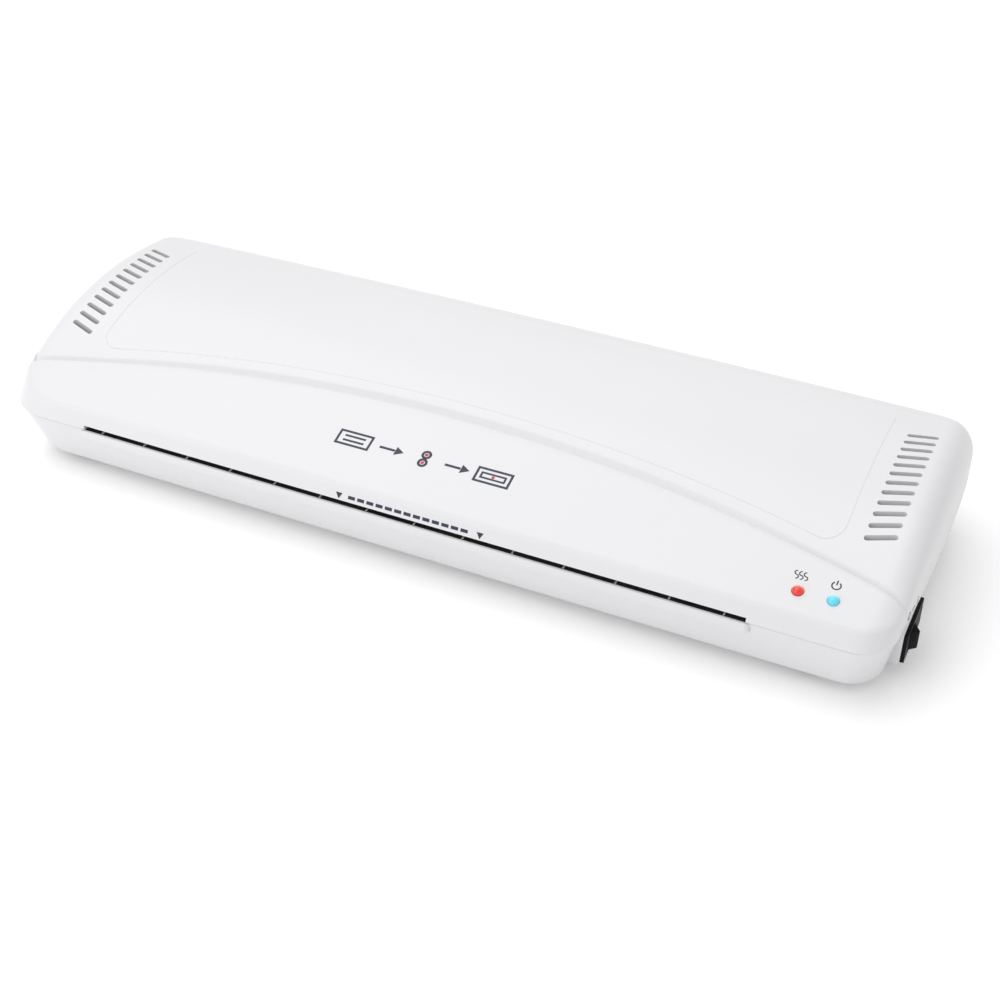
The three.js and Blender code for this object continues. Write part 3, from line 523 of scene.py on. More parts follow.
def surface(name, colour, worn, soiled, texture, gloss, **more):
    """A procedural finish: a base colour that wears on edges and soils in clouds, over a texture.

    texture is "Mould Grain" or "Brushed Lines"; more may hold spread, scale, bump, wear, soil,
    metallic, coat, specular, emission and strength.
    """
    material = bpy.data.materials.get(name)
    if material:
        return material
    material = bpy.data.materials.new(name)
    material.use_nodes = True
    w = Wiring(material.node_tree)
    shader = material.node_tree.nodes["Principled BSDF"]

    def group(label, values):
        node = w.add("ShaderNodeGroup", node_tree=shared_group(label))
        for key, value in values.items():
            node.inputs[key].default_value = value
        return node

    scale_socket = "Across" if texture == "Brushed Lines" else "Scale"
    scale, spread = more.get("scale", 2500.0), more.get("spread", 0.1)
    pattern = group(texture, {scale_socket: scale, "Gloss": gloss, "Spread": spread})
    wear = group("Edge Wear", {"Amount": more.get("wear", 0.3)})
    soil = group("Handling", {"Amount": more.get("soil", 0.3)})
    soiling = w.add("ShaderNodeMix", data_type="RGBA")
    soiling.inputs["A"].default_value = (*colour, 1)
    soiling.inputs["B"].default_value = (*soiled, 1)
    w.link(soil.outputs["Mask"], soiling.inputs["Factor"])
    wearing = w.add("ShaderNodeMix", data_type="RGBA")
    wearing.inputs["B"].default_value = (*worn, 1)
    w.link(soiling.outputs["Result"], wearing.inputs["A"])
    w.link(wear.outputs["Mask"], wearing.inputs["Factor"])
    w.link(wearing.outputs["Result"], shader.inputs["Base Color"])
    w.link(pattern.outputs["Roughness"], shader.inputs["Roughness"])
    bump = w.add(
        "ShaderNodeBump", {"Strength": more.get("bump", 0.08), "Distance": 0.02 * MM}
    )
    w.link(pattern.outputs["Height"], bump.inputs["Height"])
    w.link(bump.outputs["Normal"], shader.inputs["Normal"])
    shader.inputs["Metallic"].default_value = more.get("metallic", 0.0)
    shader.inputs["Coat Weight"].default_value = more.get("coat", 0.0)
    shader.inputs["Specular IOR Level"].default_value = more.get("specular", 0.5)
    if "emission" in more:
        shader.inputs["Emission Color"].default_value = (*more["emission"], 1)
        shader.inputs["Emission Strength"].default_value = more["strength"]
    return material


def shade(colour, factor):
    """A colour made darker or lighter by a factor."""
    return tuple(min(1.0, channel * factor) for channel in colour)


def casing_white():
    white = tuple(settings("casing").plastic)
    return surface(
        "Satin white plastic", white, shade(white, 1.04), shade(white, 0.97),
        "Mould Grain", 0.36, spread=0.1, bump=0.1, wear=0.2, soil=0.5,
    )


def guide_black():
    return surface(
        "Heat-proof black plastic", (0.012, 0.012, 0.013), (0.05, 0.05, 0.052),
        (0.022, 0.022, 0.023), "Mould Grain", 0.6, bump=0.2, wear=0.2, soil=0.5, specular=0.12,
    )


def switch_black():
    return surface(
        "Polished black plastic", (0.005, 0.005, 0.008), (0.03, 0.03, 0.035),
        (0.008, 0.008, 0.011), "Mould Grain", 0.36, bump=0.04, wear=0.15, soil=0.4, specular=0.07,
    )


# The ribs are white plastic; their grey base colour is painted shade from the slot they sit in.
def rib_white_painted_shade():
    return surface(
        "Rib plastic with painted shade", (0.42, 0.4, 0.4), (0.55, 0.54, 0.54), (0.32, 0.31, 0.31),
        "Mould Grain", 0.3, bump=0.08, wear=0.2, soil=0.4,
    )


def bearing_brass():
    return surface(
        "Sintered bronze", (0.56, 0.38, 0.15), (0.78, 0.6, 0.32), (0.32, 0.2, 0.08),
        "Mould Grain", 0.34, scale=1800.0, bump=0.3, wear=0.5, soil=0.5, metallic=1.0,
    )


def roller_silicone():
    return surface(
        "Red-brown silicone", (0.36, 0.06, 0.035), (0.5, 0.16, 0.11), (0.26, 0.05, 0.035),
        "Mould Grain", 0.66, scale=1500.0, bump=0.25, wear=0.4, soil=0.7,
    )


def gear_nylon():
    return surface(
        "Natural nylon", (0.76, 0.72, 0.6), (0.85, 0.82, 0.74), (0.6, 0.53, 0.38),
        "Mould Grain", 0.42, bump=0.15, wear=0.4, soil=0.6,
    )


def heater_aluminium():
    return surface(
        "Rolled aluminium", (0.62, 0.63, 0.65), (0.82, 0.82, 0.83), (0.42, 0.42, 0.42),
        "Brushed Lines", 0.36, scale=1400.0, bump=0.25, wear=0.5, soil=0.5, metallic=1.0,
    )


def heater_mica():
    return surface(
        "Mica laminate", (0.34, 0.25, 0.12), (0.5, 0.42, 0.26), (0.22, 0.15, 0.07),
        "Mould Grain", 0.5, scale=700.0, bump=0.4, wear=0.4, soil=0.9,
    )


def foot_rubber():
    return surface(
        "Dark rubber", (0.028, 0.028, 0.03), (0.1, 0.1, 0.1), (0.07, 0.068, 0.064),
        "Mould Grain", 0.8, scale=1400.0, bump=0.5, wear=0.5, soil=0.8,
    )


def board_green():
    return surface(
        "Green circuit board", (0.015, 0.13, 0.05), (0.3, 0.33, 0.2), (0.01, 0.07, 0.03),
        "Mould Grain", 0.35, scale=900.0, bump=0.3, wear=0.5, soil=0.8, coat=0.4,
    )


def fuse_ceramic():
    return surface(
        "Glazed ceramic", (0.74, 0.71, 0.64), (0.85, 0.83, 0.78), (0.55, 0.5, 0.42),
        "Mould Grain", 0.2, bump=0.05, wear=0.4, soil=0.5, coat=0.5,
    )


def chassis_steel():
    return surface(
        "Zinc-plated steel", (0.52, 0.54, 0.56), (0.75, 0.76, 0.77), (0.38, 0.38, 0.36),
        "Brushed Lines", 0.32, scale=1100.0, bump=0.15, wear=0.5, soil=0.6, metallic=1.0,
    )


def lamp_finish(name, colour, core):
    """A lit lamp: its resin glows, deep in colour at the front, and a painted highlight pales it
    towards the rear.
    """
    made = bpy.data.materials.get(name)
    if made:
        return made
    material = surface(
        name, colour, core, shade(colour, 0.6), "Mould Grain", 0.12, bump=0.02, wear=0.2,
        soil=0.8, coat=0.6, emission=core, strength=0.18,
    )
    w = Wiring(material.node_tree)
    shader = material.node_tree.nodes["Principled BSDF"]
    resin = shader.inputs["Base Color"].links[0].from_socket
    place = w.add("ShaderNodeTexCoord")
    split = w.add("ShaderNodeSeparateXYZ")
    w.link(place.outputs["Object"], split.inputs["Vector"])
    # Painted highlight: the base colour pales towards the rear of the dome, where the dome would
    # catch the overhead light.
    start, end = LAMP_Y - 0.6 * MM, LAMP_Y + 2.4 * MM
    highlight_ramp = w.add(
        "ShaderNodeMapRange", {"From Min": start, "From Max": end, "To Min": 0.0, "To Max": 0.75}
    )
    w.link(split.outputs["Y"], highlight_ramp.inputs["Value"])
    painted_highlight = w.add("ShaderNodeMix", data_type="RGBA")
    painted_highlight.inputs["B"].default_value = (*(0.55 + 0.45 * channel for channel in core), 1)
    w.link(highlight_ramp.outputs["Result"], painted_highlight.inputs["Factor"])
    w.link(resin, painted_highlight.inputs["A"])
    w.link(painted_highlight.outputs["Result"], shader.inputs["Base Color"])
    return material


def lamp_red():
    colour = tuple(settings("controls").heat_colour)
    return lamp_finish("Lit red resin", colour, (1.0, 0.1, 0.05))


def lamp_blue():
    colour = tuple(settings("controls").power_colour)
    return lamp_finish("Lit blue resin", colour, (0.25, 0.85, 1.0))


def ink():
    colour = tuple(settings("controls").ink_colour)
    return surface(
        "Navy ink", colour, shade(colour, 3), shade(colour, 1.4), "Mould Grain", 0.4,
        bump=0.05, wear=0.2, soil=0.5,
    )


def accent_ink():
    colour = tuple(settings("controls").accent_colour)
    return surface(
        "Red ink", colour, shade(colour, 1.5), shade(colour, 0.8), "Mould Grain", 0.4,
        bump=0.05, wear=0.2, soil=0.5,
    )


SLOT_FINISHES = {
    "casing_white": casing_white,
    "guide_black": guide_black,
    "switch_black": switch_black,
    "bearing_brass": bearing_brass,
    "roller_silicone": roller_silicone,
    "gear_nylon": gear_nylon,
    "heater_aluminium": heater_aluminium,
    "heater_mica": heater_mica,
    "foot_rubber": foot_rubber,
    "board_green": board_green,
    "lamp_red": lamp_red,
    "lamp_blue": lamp_blue,
    "fuse_ceramic": fuse_ceramic,
    "chassis_steel": chassis_steel,
}


# ---- Shapes of the shells -----------------------------------------------------------------------


def fall_back(radius, into):
    """How far a rounded corner of this radius has fallen back, a length `into` the rounding."""
    return radius - math.sqrt(max(0.0, radius**2 - max(0.0, into) ** 2))


def bow_end(x, y):
    """Bulges the ends a little in plan, and moves x into the frame."""
    return CENTRE_X + x * (1 - END_BOW * ((y - 12.5 * MM) / (70 * MM)) ** 2)


def deck_z(y):
    return DECK_FRONT_Z + DECK_SLOPE * (y - DECK_FRONT_Y)


def groove_y(x):
    return GROOVE_Y - (GROOVE_RADIUS - math.sqrt(GROOVE_RADIUS**2 - x**2))


def hump_z(y):
    t = (y + 7.5 * MM) / (50 * MM)
    return (63.0 + 8.5 * t - 8.5 * t**2 + 1.1 * t**3) * MM


def smooth_step(t):
    return t * t * (3 - 2 * t)


def steps(count):
    """Even shares from 0 to 1, without the 0."""
    return [step / count for step in range(1, count + 1)]


def cover_edges(x):
    """Front edge, deck's front edge, and rear edge of the cover at x."""
    corner = LEFT_CORNER if x < 0 else RIGHT_CORNER
    front = FRONT_Y + fall_back(corner, abs(x) - HALF_LENGTH + corner)
    lean = fall_back(LEFT_DECK_CORNER, -x - HALF_LENGTH + LEFT_DECK_CORNER) if x < 0 else 0.0
    bow = REAR_BOW * (x / HALF_LENGTH) ** 2
    rear = REAR_Y - bow - fall_back(REAR_CORNER, abs(x) - HALF_LENGTH + REAR_CORNER)
    return front, max(front, FRONT_Y + lean), rear


def top_profile(x):
    """Points (y, z) of the cover's skin at x, from its front rim over the hump to its rear rim."""
    casing = settings("casing")
    front, deck_front, rear = cover_edges(x)
    into = max(0.0, abs(x) - HALF_LENGTH + END_ROLL) / END_ROLL
    keep = 1 - END_ROLL_SHARE * (1 - math.sqrt(max(0.0, 1 - into**2)))
    points = [(front + RIM_INSET, COVER_BASE), (front, RIM_TOP)]

    def rise(y, z):
        points.append((y, max(RIM_TOP, PART_Z + (z - PART_Z) * keep)))

    # Up the front face, then round its crest on to the deck.
    crest_y = deck_front + CREST_IN
    crest = Vector((crest_y, deck_z(crest_y)))
    foot = Vector((front, RIM_TOP))
    bend = foot.lerp(crest, 0.76)
    for share in steps(4):
        at = foot.lerp(bend, share)
        rise(at.x, at.y)
    landing = Vector((crest_y + CREST_ROUND, deck_z(crest_y + CREST_ROUND)))
    for share in steps(8):
        at = bend.lerp(crest, share).lerp(crest.lerp(landing, share), share)
        rise(at.x, at.y)

    # Along the deck to the groove, and through it on to the hump.
    middle = max(groove_y(x), deck_front + 11 * MM)
    near, far = middle - casing.groove_half, middle + casing.groove_half
    for share in steps(10):
        y = landing.x + (near - landing.x) * share
        rise(y, deck_z(y))
    excess = max(0.0, deck_z(far) - hump_z(far))
    for share in steps(10):
        y = near + (far - near) * share
        level = deck_z(y) + (hump_z(far) + excess - deck_z(far)) * smooth_step(share)
        rise(y, level - casing.groove_depth * math.sin(math.pi * share) ** 2)
    for share in steps(26):
        y = far + (ROLL_Y - far) * share
        rise(y, hump_z(y) + excess * (1 - share) ** 2)

    # Down the rear as a quarter of an ellipse.
    for share in steps(18):
        angle = share * math.pi / 2
        z = ROLL_Z + (hump_z(ROLL_Y) - ROLL_Z) * math.cos(angle)
        rise(ROLL_Y + (rear - ROLL_Y) * math.sin(angle), z)
    points.append((rear, RIM_TOP))
    points.append((rear - RIM_INSET, COVER_BASE))
    return points


def cover_z(x, y):
    """Height of the cover's skin over (x, y), with x measured from the middle."""
    points = top_profile(x)
    for (y0, z0), (y1, z1) in zip(points, points[1:]):
        if y0 <= y <= y1 and y1 > y0:
            return z0 + (z1 - z0) * (y - y0) / (y1 - y0)
    raise ValueError("no cover over this place")


def stations():
    """Places along the length, close together in the rounded ends, from left to right."""
    reach, around, between = 34 * MM, 16, 40
    start = HALF_LENGTH - reach
    right = [start + reach * math.sin(share * math.pi / 2) for share in [0] + steps(around)]
    left = [-x for x in reversed(right)]
    middle = [-start + 2 * start * step / between for step in range(1, between)]
    return left + middle + right


def casing_ring(z, inset):
    """Points around the lower shell at height z, standing in by `inset`."""
    share = max(0.0, PART_Z - z) / (PART_Z - FOOT_H)
    edge = fall_back(FOOT_EDGE, FOOT_EDGE - (z - FOOT_H - inset)) + CASING_STEP + inset
    half = HALF_LENGTH - edge - END_TAPER * share
    front = FRONT_Y + edge + FRONT_TAPER * share**1.2
    rear = REAR_Y - REAR_BOW - edge - REAR_TAPER * share
    corners = (
        (half, rear, REAR_CORNER, 0),
        (-half, rear, REAR_CORNER, 1),
        (-half, front, LEFT_CORNER, 2),
        (half, front, RIGHT_CORNER, 3),
    )
    ring = []
    for x, y, radius, quarter in corners:
        middle_x = x - math.copysign(radius, x)
        middle_y = y - math.copysign(radius, y)
        for share_round in [0] + steps(12):
            angle = (quarter + share_round) * math.pi / 2
            ring.append(
                (middle_x + radius * math.cos(angle), middle_y + radius * math.sin(angle))
            )
        if quarter == 0:
            for along in (0.8, 0.6, 0.45, 0.3, 0.15, 0, -0.15, -0.3, -0.45, -0.6, -0.8):
                if abs(along * half) < half - radius:
                    ring.append((along * half, rear + REAR_BOW * (1 - along**2)))
        if quarter in (1, 3):
            sign = -1 if quarter == 1 else 1
            for share_side in steps(6)[:-1]:
                ring.append((sign * half, -sign * (share_side - 0.5) * -100 * MM))
    return [Vector((bow_end(x, y), y, z)) for x, y in ring]


# ---- Pieces -------------------------------------------------------------------------------------


class LAMINATOR_OT_frame_finishes(bpy.types.Operator):
    """Gives each piece of the frame the finish of its material slot"""

    bl_idname = "laminator.frame_finishes"
    bl_label = "Frame Finishes"

    def execute(self, context):
        for subpart in frame["record"]["subparts"]:
            node = frame["nodes"][subpart["node"]]
            node.data.materials.clear()
            node.data.materials.append(SLOT_FINISHES[subpart["material_slot"]]())
        return {"FINISHED"}


def walled(outer, wall):
    """Gives the open skin of the upper shell its inner wall, and closes the rim between them."""
    inner = copy_of(outer, "inner_wall", Matrix.Identity(4))
    for vertex in inner.data.vertices:
        x, y, z = vertex.co
        drop = wall * min(1.0, (z - COVER_BASE) / WALL_RISE)
        vertex.co.x = CENTRE_X + (x - CENTRE_X) * (1 - wall / HALF_LENGTH)
        vertex.co.y = y * (1 - wall / REAR_Y)
        vertex.co.z = z - drop
    shell = joined([outer, inner], outer.name)
    only(shell)
    bpy.ops.object.mode_set(mode="EDIT")
    bpy.ops.mesh.select_mode(type="EDGE")
    bpy.ops.mesh.select_all(action="DESELECT")
    bpy.ops.mesh.select_non_manifold()
    bpy.ops.mesh.bridge_edge_loops()
    bpy.ops.mesh.select_all(action="SELECT")
    bpy.ops.mesh.normals_make_consistent(inside=False)
    bpy.ops.object.mode_set(mode="OBJECT")
    return shell


def vent_cutters(casing):
    """The rounded slots of both rows of vents, as a list of cutters."""
    long, wide = casing.vent_length, casing.vent_width
    first = slab("vent", (-long / 2, -wide / 2, PART_Z + 4 * MM), (long / 2, wide / 2, 80 * MM))
    bevel(first, wide * 0.499, lambda a, b: abs(a.z - b.z) > 10 * MM, 6)
    cutters = []
    for side in (-1, 1):
        for row in range(casing.vents):
            place = Vector((CENTRE_X + side * VENT_X, VENT_REAR_Y - VENT_PITCH * row, 0))
            turn = Matrix.Rotation(side * VENT_TILT, 4, "Z")
            cutters.append(copy_of(first, "vent_cut", Matrix.Translation(place) @ turn))
    bpy.data.objects.remove(first)
    return cutters


def panel_line_cutter(casing):
    """A thin tube along the fine line that runs behind the groove and back along both sides."""
    side, corner, behind, end_y = 192 * MM, 9 * MM, 6.6 * MM, 47 * MM
    path = []
    side_front = groove_y(side - corner) + behind
    for share in [0] + steps(24):
        path.append((-side, end_y + (side_front + corner - end_y) * share))
    for share in steps(6):
        angle = math.pi + share * math.pi / 2
        across, ahead = corner * (1 + math.cos(angle)), corner * (1 + math.sin(angle))
        path.append((-side + across, side_front + ahead))
    left_end = list(path)
    for share in steps(60)[:-1]:
        x = -side + corner + 2 * (side - corner) * share
        path.append((x, groove_y(x) + behind))
    path += [(-x, y) for x, y in reversed(left_end)]
    around = 6

    def place(column, row):
        x, y = path[row]
        before, after = path[max(0, row - 1)], path[min(len(path) - 1, row + 1)]
        along = Vector((after[0] - before[0], after[1] - before[1], 0)).normalized()
        beside = Vector((along.y, -along.x, 0))
        angle = 2 * math.pi * column / around
        centre = Vector((CENTRE_X + x, y, cover_z(x, y) + 0.05 * MM))
        radius = casing.line_radius
        return centre + beside * radius * math.cos(angle) + Vector((0, 0, radius * math.sin(angle)))

    return close_ends(skin("panel_line", around, len(path) - 1, place))


class LAMINATOR_OT_top_shell(bpy.types.Operator):
    """Builds the upper shell: deck, groove, hump, vents, lamp holes and slot openings"""

    bl_idname = "laminator.top_shell"
    bl_label = "Top Shell"

    def execute(self, context):
        casing = settings("casing")
        places = stations()
        profiles = [top_profile(x) for x in places]

        def place(column, row):
            at = min(max(column - 1, 0), len(places) - 1)
            profile = profiles[at]
            y, z = profile[row]
            if column in (0, len(places) + 1):
                # The flat end below the rolled edge, which ends on the rim.
                y, z = min(max(y, profile[0][0]), profile[-1][0]), COVER_BASE
            return Vector((bow_end(places[at], y), y, z))

        shell = skin("top_shell", len(places) + 1, len(profiles[0]) - 1, place)
        shell = walled(shell, casing.wall)

        cutters = vent_cutters(casing)
        for node in ("heat_lamp_red", "power_lamp_blue"):
            low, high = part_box(node)
            middle = ((low.x + high.x) / 2, LAMP_Y, 36 * MM)
            hole = LAMP_RADIUS + 0.25 * MM
            cutters.append(
                lathe("lamp_hole", middle, "z", [(0, 0), (hole, 0), (hole, 20 * MM), (0, 20 * MM)])
            )
        cutters.append(
            slab("feed_cut", (SLOT_LEFT, FRONT_Y - 4 * MM, 29 * MM),
                 (SLOT_RIGHT, FRONT_Y + 9 * MM, SLOT_TOP))
        )
        cutters.append(
            slab("exit_cut", (SLOT_LEFT, REAR_Y - 16 * MM, 29 * MM),
                 (SLOT_RIGHT, REAR_Y + 4 * MM, SLOT_TOP + 1 * MM))
        )
        carve(shell, joined(cutters, "top_shell_openings"))
        carve(shell, panel_line_cutter(casing))
        finish_piece(shell, casing_white(), "chassis", "casing_white", "top_cover")
        return {"FINISHED"}


class LAMINATOR_OT_lower_shell(bpy.types.Operator):
    """Builds the lower shell: rounded tray, floor vents, slot openings and screw recesses"""

    bl_idname = "laminator.lower_shell"
    bl_label = "Lower Shell"

    def execute(self, context):
        casing = settings("casing")
        wall = casing.wall
        floor = FOOT_H + wall
        centre = Vector((CENTRE_X, 0, 0))
        levels = [FOOT_H + height * MM for height in (0, 0.15, 0.5, 1, 1.7, 2.6, 5, 9, 14, 19, 24)]
        rings = [casing_ring(z, 0) for z in levels]
        rings.append(casing_ring(CASING_RIM - 0.5 * MM, 0))
        rings.append(casing_ring(CASING_RIM, 0.45 * MM))
        for z in (CASING_RIM, 22 * MM, 12 * MM, floor + 2 * MM, floor + 0.8 * MM, floor):
            rings.append(casing_ring(z, wall))
        count = len(rings[0])

        def place(column, row):
            if row == 0 or row == len(rings) + 1:
                ring = rings[min(max(row - 1, 0), len(rings) - 1)]
                return centre + Vector((0, 0, ring[0].z))
            return rings[row - 1][column % count]

        shell = skin("lower_shell", count, len(rings) + 1, place)
        cutters = []
        for side in (-1, 1):
            for row in range(6):
                y = (-38 + row * 12) * MM
                x = CENTRE_X + side * 100 * MM
                cutters.append(
                    slab("foot_vent", (x - 34 * MM, y, 0), (x + 34 * MM, y + 3 * MM, 9 * MM))
                )
        for index in range(1, 5):
            low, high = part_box(f"casing_screw_{index}")
            base = ((low.x + high.x) / 2, (low.y + high.y) / 2, 0)
            cutters.append(
                lathe("recess", base, "z", [(0, 0), (4 * MM, 0), (4 * MM, 9 * MM), (0, 9 * MM)])
            )
        low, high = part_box("cord_gland")
        base = ((low.x + high.x) / 2, low.y - 4 * MM, (low.z + high.z) / 2)
        hole = [(0, 0), (6.3 * MM, 0), (6.3 * MM, 26 * MM), (0, 26 * MM)]
        cutters.append(lathe("gland_hole", base, "y", hole))
        cutters.append(
            slab("feed_cut", (SLOT_LEFT, FRONT_Y - 4 * MM, SLOT_BOTTOM),
                 (SLOT_RIGHT, FRONT_Y + 9 * MM, PART_Z + 2 * MM))
        )
        cutters.append(
            slab("exit_cut", (SLOT_LEFT, REAR_Y - 16 * MM, SLOT_BOTTOM - 1 * MM),
                 (SLOT_RIGHT, REAR_Y + 4 * MM, PART_Z + 2 * MM))
        )
        inward = Vector((0, 3 * MM, 1 * MM))
        low, high = housing_low + inward, housing_high - inward
        low.x, high.x = SWITCH_FACE - 12 * MM, SWITCH_FACE + 8 * MM
        cutters.append(slab("switch_cut", low, high))
        carve(shell, joined(cutters, "lower_shell_openings"))
        finish_piece(shell, casing_white(), "chassis", "casing_white", "bottom_casing")
        return {"FINISHED"}


class LAMINATOR_OT_feed_slot(bpy.types.Operator):
    """Builds the rounded lip under the feed slot and the pale ribs that cross it"""

    bl_idname = "laminator.feed_slot"
    bl_label = "Feed Slot"

    def execute(self, context):
        feed = settings("feed")
        low = (SLOT_LEFT - 2.6 * MM, casing_low.y, SLOT_BOTTOM - feed.lip_height)
        high = (SLOT_RIGHT + 1.8 * MM, FRONT_Y + 3.4 * MM, SLOT_BOTTOM)
        lip = slab("feed_lip", low, high)
        front, rear = low[1] + 0.1 * MM, high[1] - 0.1 * MM
        bottom, top = low[2] + 0.1 * MM, high[2] - 0.1 * MM
        bevel(
            lip, 2.4 * MM,
            lambda a, b: a.y < front and b.y < front and abs(a.z - b.z) > 1 * MM, 6,
        )
        bevel(lip, 1.1 * MM, lambda a, b: min(a.z, b.z) > top and max(a.y, b.y) < rear, 5)
        bevel(lip, 2.6 * MM, lambda a, b: max(a.z, b.z) < bottom and max(a.y, b.y) < rear, 6)
        finish_piece(lip, casing_white(), "chassis", "casing_white")

        # A thin black plate over the lip's top inside the slot, carrying the black guide forward to
        # the slot's mouth; it is painted shade that keeps the slot's floor dark.
        shade_plate = slab(
            "slot_shade_plate", (SLOT_LEFT + 0.1 * MM, FRONT_Y + 1.1 * MM, SLOT_BOTTOM - 0.3 * MM),
            (SLOT_RIGHT - 0.1 * MM, FRONT_Y + 5.4 * MM, SLOT_BOTTOM + 0.14 * MM),
        )
        soften(shade_plate, 0.12 * MM, 3)
        finish_piece(shade_plate, guide_black(), "chassis", "guide_black")

        first = slab(
            "rib", (-feed.rib_width / 2, FRONT_Y + 1.3 * MM, SLOT_BOTTOM - 0.4 * MM),
            (feed.rib_width / 2, guide_high.y - 0.4 * MM, SLOT_BOTTOM + 0.55 * MM),
        )
        soften(first, 0.25 * MM, 2)
        margin = 9 * MM
        pitch = (guide_high.x - guide_low.x - 2 * margin) / (feed.ribs - 1)
        ribs = []
        for index in range(feed.ribs):
            shift = Vector((guide_low.x + margin + index * pitch, 0, 0))
            ribs.append(copy_of(first, "rib_copy", Matrix.Translation(shift)))
        bpy.data.objects.remove(first)
        comb = joined(ribs, "feed_ribs")
        finish_piece(comb, rib_white_painted_shade(), "chassis", "casing_white")
        return {"FINISHED"}


class LAMINATOR_OT_lamps(bpy.types.Operator):
    """Builds the two domed lamps"""

    bl_idname = "laminator.lamps"
    bl_label = "Lamps"

    def execute(self, context):
        for node, slot in (("heat_lamp_red", "lamp_red"), ("power_lamp_blue", "lamp_blue")):
            low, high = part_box(node)
            base = ((low.x + high.x) / 2, LAMP_Y, deck_z(LAMP_Y) - LAMP_DEPTH)
            shoulder = high.z - base[2] - LAMP_DOME
            profile = [(0, 0), (LAMP_RADIUS, 0), (LAMP_RADIUS, shoulder)]
            for share in steps(8):
                angle = share * math.pi / 2
                profile.append(
                    (LAMP_RADIUS * math.cos(angle), shoulder + LAMP_DOME * math.sin(angle))
                )
            lens = lathe(node + "_lens", base, "z", profile, 40)
            finish_piece(lens, SLOT_FINISHES[slot](), "chassis", slot, node)
        return {"FINISHED"}


class LAMINATOR_OT_power_switch(bpy.types.Operator):
    """Builds the moulded pad, the switch's bezel with its well, and the rocker"""

    bl_idname = "laminator.power_switch"
    bl_label = "Power Switch"

    def execute(self, context):
        centre_y = (housing_low.y + housing_high.y) / 2
        centre_z = (housing_low.z + housing_high.z) / 2
        pad = slab(
            "switch_pad", (SWITCH_FACE - 9 * MM, centre_y - 17.4 * MM, 6.9 * MM),
            (SWITCH_FACE, centre_y + 15 * MM, 24.4 * MM),
        )
        select_faces(pad, lambda face: face.normal.x > 0.9)
        bpy.ops.mesh.inset(thickness=3.4 * MM)
        bpy.ops.mesh.extrude_region_move(TRANSFORM_OT_translate={"value": (-6 * MM, 0, 0)})
        bpy.ops.object.mode_set(mode="OBJECT")
        soften(pad, 1.1 * MM, 4)
        finish_piece(pad, casing_white(), "chassis", "casing_white")

        bezel = slab(
            "switch_bezel", (SWITCH_FACE - 4 * MM, housing_low.y, housing_low.z),
            (housing_high.x, housing_high.y - REAR_RIM_CUT, housing_high.z),
        )
        select_faces(bezel, lambda face: face.normal.x > 0.9)
        bpy.ops.mesh.inset(thickness=BEZEL_RIM)
        inset_length = housing_high.y - housing_low.y - REAR_RIM_CUT - 2 * BEZEL_RIM
        bpy.ops.transform.resize(value=(1, WELL_LENGTH / inset_length, 1))
        bpy.ops.transform.translate(value=(0, REAR_RIM_CUT / 2, 0))
        bpy.ops.mesh.extrude_region_move(TRANSFORM_OT_translate={"value": (-5 * MM, 0, 0)})
        bpy.ops.object.mode_set(mode="OBJECT")
        soften(bezel, 0.45 * MM, 3)
        finish_piece(bezel, switch_black(), "chassis", "switch_black", "switch_housing")

        half = 4.9 * MM
        outline = ((-7.8, 5.2), (-4, 3.4), (0, 2.8), (4, 3.4), (7.8, 5.2), (10.7, 0.2),
                   (6, -3.4), (-6, -3.4), (-10.7, 0.2))
        bpy.ops.object.select_all(action="DESELECT")
        bpy.ops.mesh.primitive_circle_add(vertices=len(outline), fill_type="NGON")
        rocker = keep_as("rocker")
        turn = Matrix.Rotation(ROCKER_TILT, 3, "Z")
        for vertex, (y, x) in zip(rocker.data.vertices, outline):
            flat = turn @ Vector((x * MM, y * MM, 0))
            vertex.co = Vector((PIVOT.x + flat.x, PIVOT.y + flat.y, centre_z - half))
        only(rocker)
        bpy.ops.object.mode_set(mode="EDIT")
        bpy.ops.mesh.select_all(action="SELECT")
        bpy.ops.mesh.extrude_region_move(TRANSFORM_OT_translate={"value": (0, 0, 2 * half)})
        bpy.ops.mesh.select_all(action="SELECT")
        bpy.ops.mesh.normals_make_consistent(inside=False)
        bpy.ops.object.mode_set(mode="OBJECT")
        soften(rocker, 0.4 * MM, 3)
        finish_piece(rocker, switch_black(), "rocker", "switch_black", "power_rocker", angle=25)
        return {"FINISHED"}


def mark_bar(low, high):
    """A printed stroke in the XY plane, between two corners given in millimetres."""
    return slab("stroke", (low[0] * MM, low[1] * MM, -INK), (high[0] * MM, high[1] * MM, 0))


def mark_ring(x, y, radius, width, start=0.0, sweep=360.0):
    """A printed ring or part of one, in millimetres and degrees."""
    inner, outer = (radius - width / 2) * MM, (radius + width / 2) * MM
    count = max(6, round(sweep / 12))
    corners = ((inner, -INK), (outer, -INK), (outer, 0), (inner, 0), (inner, -INK))

    def place(column, row):
        reach, z = corners[row]
        angle = math.radians(start + sweep * column / count)
        return Vector((x * MM + reach * math.cos(angle), y * MM + reach * math.sin(angle), z))

    ring = skin("stroke", count, len(corners) - 1, place)
    return ring if sweep == 360 else close_ends(ring)


def mark_disc(x, y, radius, sides=20, turn=0.0):
    """A printed disc, or a triangle when it has three sides."""
    bpy.ops.object.select_all(action="DESELECT")
    bpy.ops.mesh.primitive_cylinder_add(
        vertices=sides, radius=radius * MM, depth=INK,
        location=(x * MM, y * MM, -INK / 2), rotation=(0, 0, math.radians(turn)),
    )
    return settle(keep_as("stroke"))


def mark_frame(x0, y0, x1, y1, width):
    """The outline of a sheet, from four strokes."""
    return [
        mark_bar((x0, y0), (x1, y0 + width)),
        mark_bar((x0, y1 - width), (x1, y1)),
        mark_bar((x0, y0 + width), (x0 + width, y1 - width)),
        mark_bar((x1 - width, y0 + width), (x1, y1 - width)),
    ]


